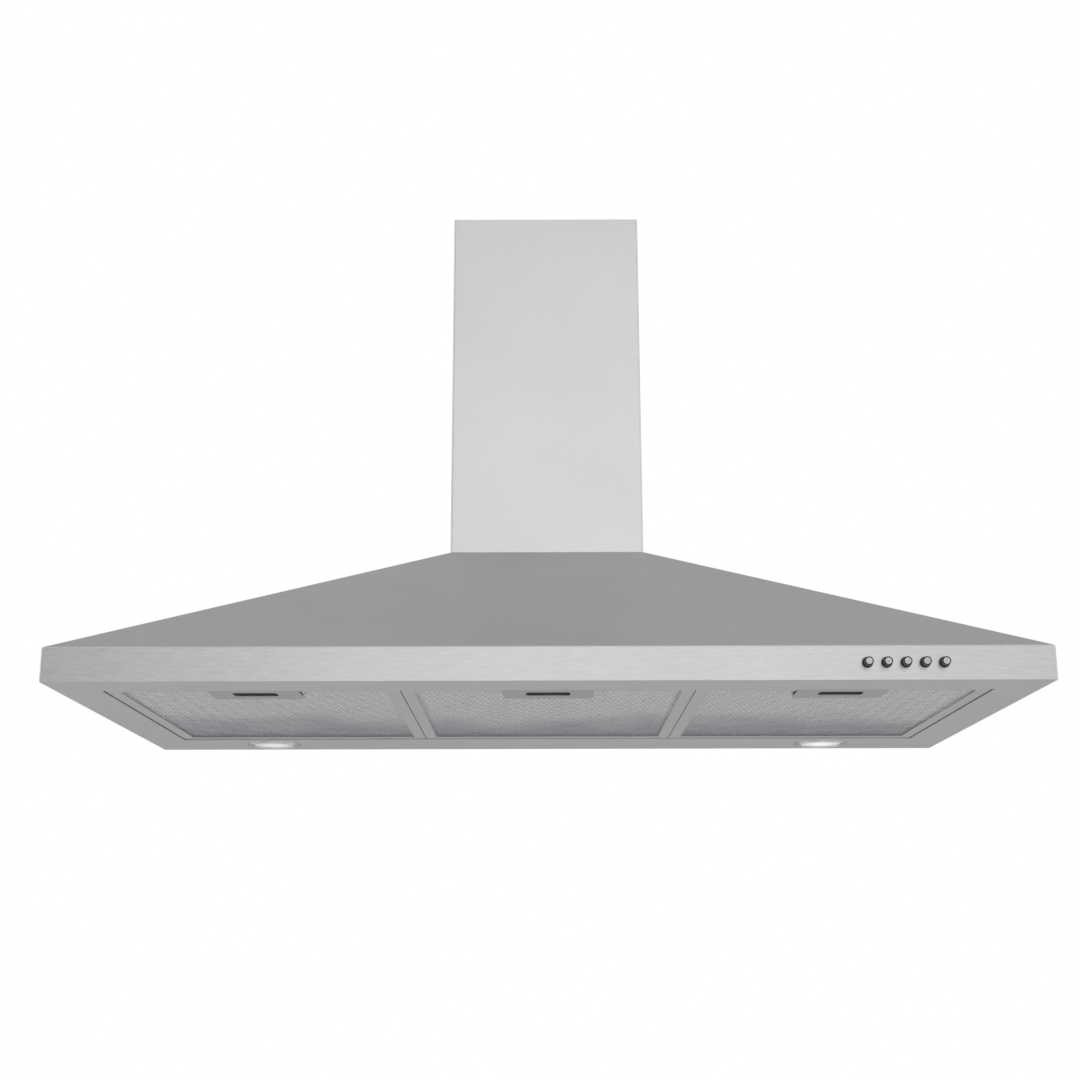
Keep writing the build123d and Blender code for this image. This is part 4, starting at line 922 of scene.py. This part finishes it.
@dataclass
class Lamp:
    """A round halogen lamp let into the underside: chromed trim around a frosted glass."""

    side: Side
    glow: float = 0.6
    steps: int = 96
    glass_gap: float = 0.3 * MM
    wall: float = 2.0 * MM
    # Each edge of the trim: how far from the edge, and how much of the drop is reached there.
    inner_edge: tuple[Pair, ...] = ((0.0, 0.35), (1.0 * MM, 0.8), (2.2 * MM, 1.0))
    outer_edge: tuple[Pair, ...] = ((1.4 * MM, 1.0), (0.5 * MM, 0.85), (0.0, 0.45))
    # Shares of the glass's thickness: what the dome starts from, and its upright edge.
    dome_foot: float = 0.82
    glass_edge: float = 0.5
    dome_flats: int = 12

    def build(self, frame: dict) -> None:
        """Turns the trim and the glass, and finishes the housing.

        Args:
            frame: the loaded frame.
        """
        dress(frame, CAST, f"lamp_body_{self.side.value}")
        self.trim()
        self.glass()

    def trim(self) -> None:
        """Turns the trim ring: flat flange, rolled outer edge and a soft inner lip."""
        name = f"lamp_bezel_{self.side.value}"
        low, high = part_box(name)
        glass_low, glass_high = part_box(f"lamp_lens_{self.side.value}")
        outer = (high.x - low.x) / 2
        inner = (glass_high.x - glass_low.x) / 2 + self.glass_gap
        centre = Vector(((low.x + high.x) / 2, (low.y + high.y) / 2, 0))
        profile = [(inner, -high.z)]
        profile += [(inner + away, -low.z * share) for away, share in self.inner_edge]
        profile += [(outer - away, -low.z * share) for away, share in self.outer_edge]
        profile += [(outer, 0.0), (inner + self.wall, 0.0), (inner + self.wall, -high.z), profile[0]]
        bm = bmesh.new()
        spun(bm, profile, centre, DOWN, self.steps)
        piece(f"lamp_trim_{self.side.value}", bm, CHROME, "hood", (name,))

    def glass(self) -> None:
        """Turns the glass: a shallow dome with a stepped edge."""
        name = f"lamp_lens_{self.side.value}"
        low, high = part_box(name)
        radius = (high.x - low.x) / 2
        thick = high.z - low.z
        centre = Vector(((low.x + high.x) / 2, (low.y + high.y) / 2, high.z))
        dome = []
        for step in range(self.dome_flats):
            share = step / self.dome_flats
            swell = (1 - self.dome_foot) * math.cos(math.pi / 2 * share)
            dome.append((radius * share, thick * (self.dome_foot + swell)))
        profile = [(0.0, 0.0), (radius, 0.0), (radius, thick * self.glass_edge)] + dome[::-1]
        bm = bmesh.new()
        spun(bm, profile, centre, DOWN, self.steps)
        # Pale grey by itself; the bulb behind makes it the whitest spot on the underside.
        finish = FrostedGlass(
            f"frosted lamp glass {self.side.value}",
            "lamp_glass",
            "#B4B6B6",
            "#A4A6A6",
            0.3,
            glow=self.glow,
            centre=tuple(centre),
        )
        piece(f"lamp_glass_{self.side.value}", bm, finish, "hood", (name,))


@dataclass
class PushButtons:
    """The row of five push buttons at the right end of the front lip."""

    count: int = 5
    steps: int = 64
    edge: float = 0.5 * MM
    wall: float = 0.75 * MM
    face_depth: float = 1.2 * MM
    cap_gap: float = 0.1 * MM
    cap_sink: float = 0.15 * MM
    cap_edge: float = 0.35 * MM
    dimple_radius: float = 1.1 * MM
    dimple_depth: float = 0.4 * MM
    dimple_flats: int = 4
    ring_gap: float = 0.25 * MM
    ring_edge: float = 0.4 * MM
    ring_lip: float = 0.3 * MM
    ring_throat: float = 0.5 * MM

    def build(self, frame: dict) -> None:
        """Turns each button with its cap, and the five bezels.

        Args:
            frame: the loaded frame.
        """
        rings = bmesh.new()
        near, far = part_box("button_bezels")
        ring_radius = (far.z - near.z) / 2
        for number in range(1, self.count + 1):
            low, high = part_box(f"button_{number}")
            front = Vector(((low.x + high.x) / 2, low.y, (low.z + high.z) / 2))
            radius = min(high.x - low.x, high.z - low.z) / 2
            self.sleeve(number, front, radius, high.y - low.y)
            self.cap(number, front, radius)
            self.bezel(rings, Vector((front.x, 0, front.z)), radius, ring_radius, near.y, far.y)
        piece("button_rings", rings, BEZEL_PLASTIC, "hood", ("button_bezels",))
        dress(frame, SWITCH_PLASTIC, "switch_housing")
        dress(frame, BRASS, "switch_terminals")

    def sleeve(self, number: int, front: Vector, radius: float, length: float) -> None:
        """Turns the black body of one button, open at the front for its cap.

        Args:
            number: the button's number, from the left.
            front: the middle of its front end.
            radius: its radius.
            length: its length.
        """
        inner = radius - self.wall
        profile = [(0.0, -length), (radius, -length)] + rounded(radius, 0.0, self.edge)
        profile += [(inner, 0.0), (inner, -self.face_depth), (0.0, -self.face_depth)]
        bm = bmesh.new()
        spun(bm, profile, front, FORWARD, self.steps)
        piece(f"button_body_{number}", bm, BUTTON_SLEEVE, f"button_{number}", (f"button_{number}",))

    def cap(self, number: int, front: Vector, radius: float) -> None:
        """Turns the metal cap of one button, with a small dimple in its middle.

        Args:
            number: the button's number, from the left.
            front: the middle of its front end.
            radius: the button's radius.
        """
        outer = radius - self.wall - self.cap_gap
        shares = [step / self.dimple_flats for step in range(self.dimple_flats + 1)]
        dimple = [
            (self.dimple_radius * share, -self.cap_sink - self.dimple_depth * (1 - share**2))
            for share in shares
        ]
        profile = [(0.0, -self.face_depth), (outer, -self.face_depth)]
        profile += rounded(outer, -self.cap_sink, self.cap_edge) + dimple[::-1]
        bm = bmesh.new()
        spun(bm, profile, front, FORWARD, self.steps)
        piece(f"button_cap_{number}", bm, BUTTON_FACE, f"button_{number}")

    def bezel(
        self, bm: BMesh, centre: Vector, radius: float, outer: float, front: float, back: float
    ) -> None:
        """Turns one bezel ring round a button.

        Args:
            bm: the mesh that gets the ring.
            centre: the button's axis, on the lip's height.
            radius: the button's radius.
            outer: the ring's outer radius.
            front: where the ring ends in front.
            back: where it ends behind.
        """
        inner = radius + self.ring_gap
        lip = rounded(inner + self.ring_lip, -front, self.ring_lip)
        profile = [(inner, -back), (outer, -back)] + rounded(outer, -front, self.ring_edge)
        profile += lip[:0:-1] + [(inner, -front - self.ring_throat), (inner, -back)]
        ring = bmesh.new()
        spun(ring, profile, centre, FORWARD, self.steps)
        join(bm, ring)


@dataclass
class Blower:
    """The fan unit: a two-part plastic scroll, its wheel and motor, and the outlet collar."""

    plastic: tuple[str, ...] = ("scroll_left", "scroll_right", "outlet_collar")
    galvanised: tuple[str, ...] = ("blower_bracket_left", "blower_bracket_right", "motor_bracket")
    screws: tuple[str, ...] = ("blower_screws", "motor_screws", "collar_screws")
    flaps: tuple[str, ...] = ("damper_flap_left", "damper_flap_right")

    def build(self, frame: dict) -> None:
        """Gives each part of the blower its finish.

        Args:
            frame: the loaded frame.
        """
        dress(frame, HOUSING, *self.plastic)
        dress(frame, GALVANISED, *self.galvanised)
        dress(frame, ZINC, *self.screws)
        dress(frame, IMPELLER_PLASTIC, "impeller", *self.flaps)
        dress(frame, ENAMEL, "motor")
        dress(frame, SHAFT, "motor_shaft")


@dataclass
class Wiring:
    """What feeds the hood: terminal box, cable gland, grommet and the motor's capacitor."""

    box: tuple[str, ...] = ("terminal_box", "cable_gland")

    def build(self, frame: dict) -> None:
        """Gives each electrical part its finish.

        Args:
            frame: the loaded frame.
        """
        dress(frame, SWITCH_PLASTIC, *self.box)
        dress(frame, HOUSING, "terminal_cover")
        dress(frame, CAPACITOR, "run_capacitor")
        dress(frame, GALVANISED, "capacitor_clip")
        dress(frame, RUBBER, "cable_grommet")


# --- The studio ---


@dataclass
class Studio:
    """The pale room around the hood: floor, daylight, reflecting cards, lamps and camera."""

    camera_place: Point = (-5.3 * MM, -1889.5 * MM, -232.5 * MM)
    yaw: float = -0.075
    pitch: float = 14.444
    roll: float = -0.126
    focal_pixels: float = 1602.5
    sensor: float = 36.0
    sight: float = 50.0
    floor_level: float = -2.4
    floor_size: float = 60.0
    floor_near: float = 3.2
    floor_far: float = 7.5
    floor_glow: float = 0.4
    floor_roughness: float = 0.9
    shade: float = 0.62
    lamp_target: Point = (0.0, -0.2, 0.2)

    def build(self) -> None:
        """Sets up everything around the object."""
        self.daylight()
        self.floor()
        self.cards()
        self.lamp("key_lamp", (-1.6, -1.7, 1.9), size=1.6, power=26.0)
        self.lamp("fill_lamp", (1.9, -1.5, 0.8), size=1.8, power=14.0)
        self.lamp("low_lamp", (0.2, -1.4, -1.3), size=1.6, power=9.0)
        self.camera()

    def seen(self, tree: NodeTree) -> Node:
        """Is 1 for what the camera, a mirror or a pane shows, and 0 for what lights a surface.

        Args:
            tree: the node tree that asks.

        Returns:
            The answer, as a node.
        """
        path = add_node(tree, "LightPath")
        rays = [path.outputs[f"Is {kind} Ray"] for kind in ("Camera", "Glossy", "Transmission")]
        first = add_node(tree, "Math", {0: rays[0], 1: rays[1]}, operation="MAXIMUM")
        return add_node(tree, "Math", {0: first, 1: rays[2]}, operation="MAXIMUM")

    def daylight(self) -> None:
        """A white surround for the eye and for reflections, a softer one for light."""
        world = bpy.data.worlds.new("pale studio")
        bpy.context.scene.world = world
        world.use_nodes = True
        tree = world.node_tree
        tree.nodes.clear()
        strength = add_node(tree, "MapRange", {"Value": self.seen(tree), "To Min": self.shade})
        white = {"Strength": strength, "Color": linear("#FFFFFF")}
        surround = add_node(tree, "Background", white)
        add_node(tree, "OutputWorld", {"Surface": surround})

    def floor(self) -> None:
        """A plain pale floor, well below the hood, that keeps its shadow."""
        bm = bmesh.new()
        bmesh.ops.create_grid(bm, x_segments=1, y_segments=1, size=self.floor_size / 2)
        bmesh.ops.translate(bm, vec=(0, 0, self.floor_level), verts=bm.verts)
        # Matt white paint without a highlight, which fades into the white surround.
        paint = bpy.data.materials.new("pale floor paint")
        paint.use_nodes = True
        tree = paint.node_tree
        shader = tree.nodes["Principled BSDF"]
        here = add_node(tree, "TexCoord").outputs["Object"]
        away = add_node(tree, "VectorMath", {0: here}, operation="LENGTH").outputs["Value"]
        ends = {"Value": away, "From Min": self.floor_near, "From Max": self.floor_far}
        far = add_node(tree, "MapRange", ends, interpolation_type="SMOOTHSTEP")
        paler = add_node(tree, "MapRange", {"Value": far, "To Min": self.floor_glow})
        shown = add_node(tree, "Math", {0: paler, 1: self.seen(tree)}, operation="MULTIPLY")
        tones = {0: far, 6: linear("#E6E6E6"), 7: linear("#000000")}
        tone = add_node(tree, "Mix", tones, data_type="RGBA")
        look = {
            "Roughness": self.floor_roughness,
            "Specular IOR Level": 0.0,
            "Base Color": tone.outputs[2],
            "Emission Color": linear("#FFFFFF"),
            "Emission Strength": shown,
        }
        feed(tree, shader, look)
        floor = placed("floor", bm, paint)

    def card(self, name: str, across: Pair, upright: Pair, away: float, levels: tuple) -> None:
        """Hangs a grey card that only reflections show.

        Args:
            name: the card's name.
            across: where its left and right edges are along X.
            upright: where its lower and upper edges are along Z.
            away: where it hangs along Y.
            levels: an axis, and brightness at one place along it and at another, as pairs.
        """
        left, right = across
        bottom, top = upright
        bm = bmesh.new()
        bmesh.ops.create_grid(bm, x_segments=1, y_segments=1, size=0.5)
        stretch = Matrix.Diagonal((right - left, top - bottom, 1, 1))
        stand = Matrix.Rotation(math.pi / 2, 4, "X")
        there = Matrix.Translation(((left + right) / 2, away, (bottom + top) / 2))
        bmesh.ops.transform(bm, matrix=there @ stand @ stretch, verts=bm.verts)
        paper = bpy.data.materials.new(name)
        paper.use_nodes = True
        tree = paper.node_tree
        tree.nodes.clear()
        here = add_node(tree, "TexCoord").outputs["Object"]
        where = add_node(tree, "SeparateXYZ", {"Vector": here})
        axis, (start, low), (end, high) = levels
        ends = {"From Min": start, "From Max": end, "To Min": low, "To Max": high}
        level = add_node(tree, "MapRange", {"Value": where.outputs[axis], **ends})
        glow = add_node(tree, "Emission", {"Strength": level})
        add_node(tree, "OutputMaterial", {"Surface": glow})
        card = placed(name, bm, paper)
        for ray in ("camera", "diffuse", "shadow", "transmission"):
            setattr(card, f"visible_{ray}", False)

    def cards(self) -> None:
        """The dimmer parts of the room: the wall behind, and what stands in front."""
        self.card("card_behind", (-9.0, 9.0), (-1.5, 14.0), 2.5, ("Z", (0.2, 0.40), (1.6, 0.41)))
        self.card("card_left", (-6.0, 0.2), (-2.5, 2.5), -4.0, ("X", (-1.9, 0.41), (-0.4, 0.96)))
        self.card("card_right", (0.2, 6.0), (-2.5, 2.5), -4.0, ("X", (0.7, 0.96), (1.9, 0.75)))
        self.card("card_above", (-6.0, 6.0), (3.0, 9.0), -4.0, ("Z", (3.0, 0.60), (3.8, 0.25)))

    def lamp(self, name: str, place: Point, size: float, power: float) -> None:
        """Hangs a soft square lamp that looks at the hood.

        Args:
            name: the lamp's name.
            place: where it hangs.
            size: its width.
            power: its power in watts.
        """
        data = bpy.data.lights.new(name, "AREA")
        data.size = size
        data.energy = power
        lamp = bpy.data.objects.new(name, data)
        lamp.location = place
        aim = Vector(self.lamp_target) - Vector(place)
        lamp.rotation_euler = aim.to_track_quat("-Z", "Y").to_euler()
        lamp.visible_glossy = False
        bpy.context.scene.collection.objects.link(lamp)

    def camera(self) -> None:
        """Stands the camera low in front of the hood, looking up, as the photograph does."""
        yaw, pitch, roll = (math.radians(a) for a in (self.yaw, self.pitch, self.roll))
        forward = Vector(
            (math.sin(yaw) * math.cos(pitch), math.cos(yaw) * math.cos(pitch), math.sin(pitch))
        )
        level = forward.cross(UP).normalized()
        upright = level.cross(forward)
        right = level * math.cos(roll) + upright * math.sin(roll)
        up = upright * math.cos(roll) - level * math.sin(roll)
        turn = Matrix((right, up, -forward)).transposed().to_4x4()
        data = bpy.data.cameras.new("camera")
        data.sensor_width = self.sensor
        data.lens = self.focal_pixels / PHOTO_PIXELS * self.sensor
        data.clip_end = self.sight
        camera = bpy.data.objects.new("camera", data)
        camera.matrix_world = Matrix.Translation(self.camera_place) @ turn
        bpy.context.scene.collection.objects.link(camera)
        bpy.context.scene.camera = camera


def main() -> None:
    """Builds the hood around its frame, piece by piece, and stands it in the studio."""
    logging.basicConfig(level=logging.INFO, format="%(name)s: %(message)s")
    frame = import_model()
    Shell().build(frame)
    for side in Side:
        GreaseFilter(side).build(frame)
    Lamp(Side.LEFT).build(frame)
    Lamp(Side.RIGHT, glow=0.8).build(frame)
    PushButtons().build(frame)
    Blower().build(frame)
    Wiring().build(frame)
    Studio().build()
    bpy.context.scene.view_settings.view_transform = "Standard"


if __name__ == "__main__":
    main()
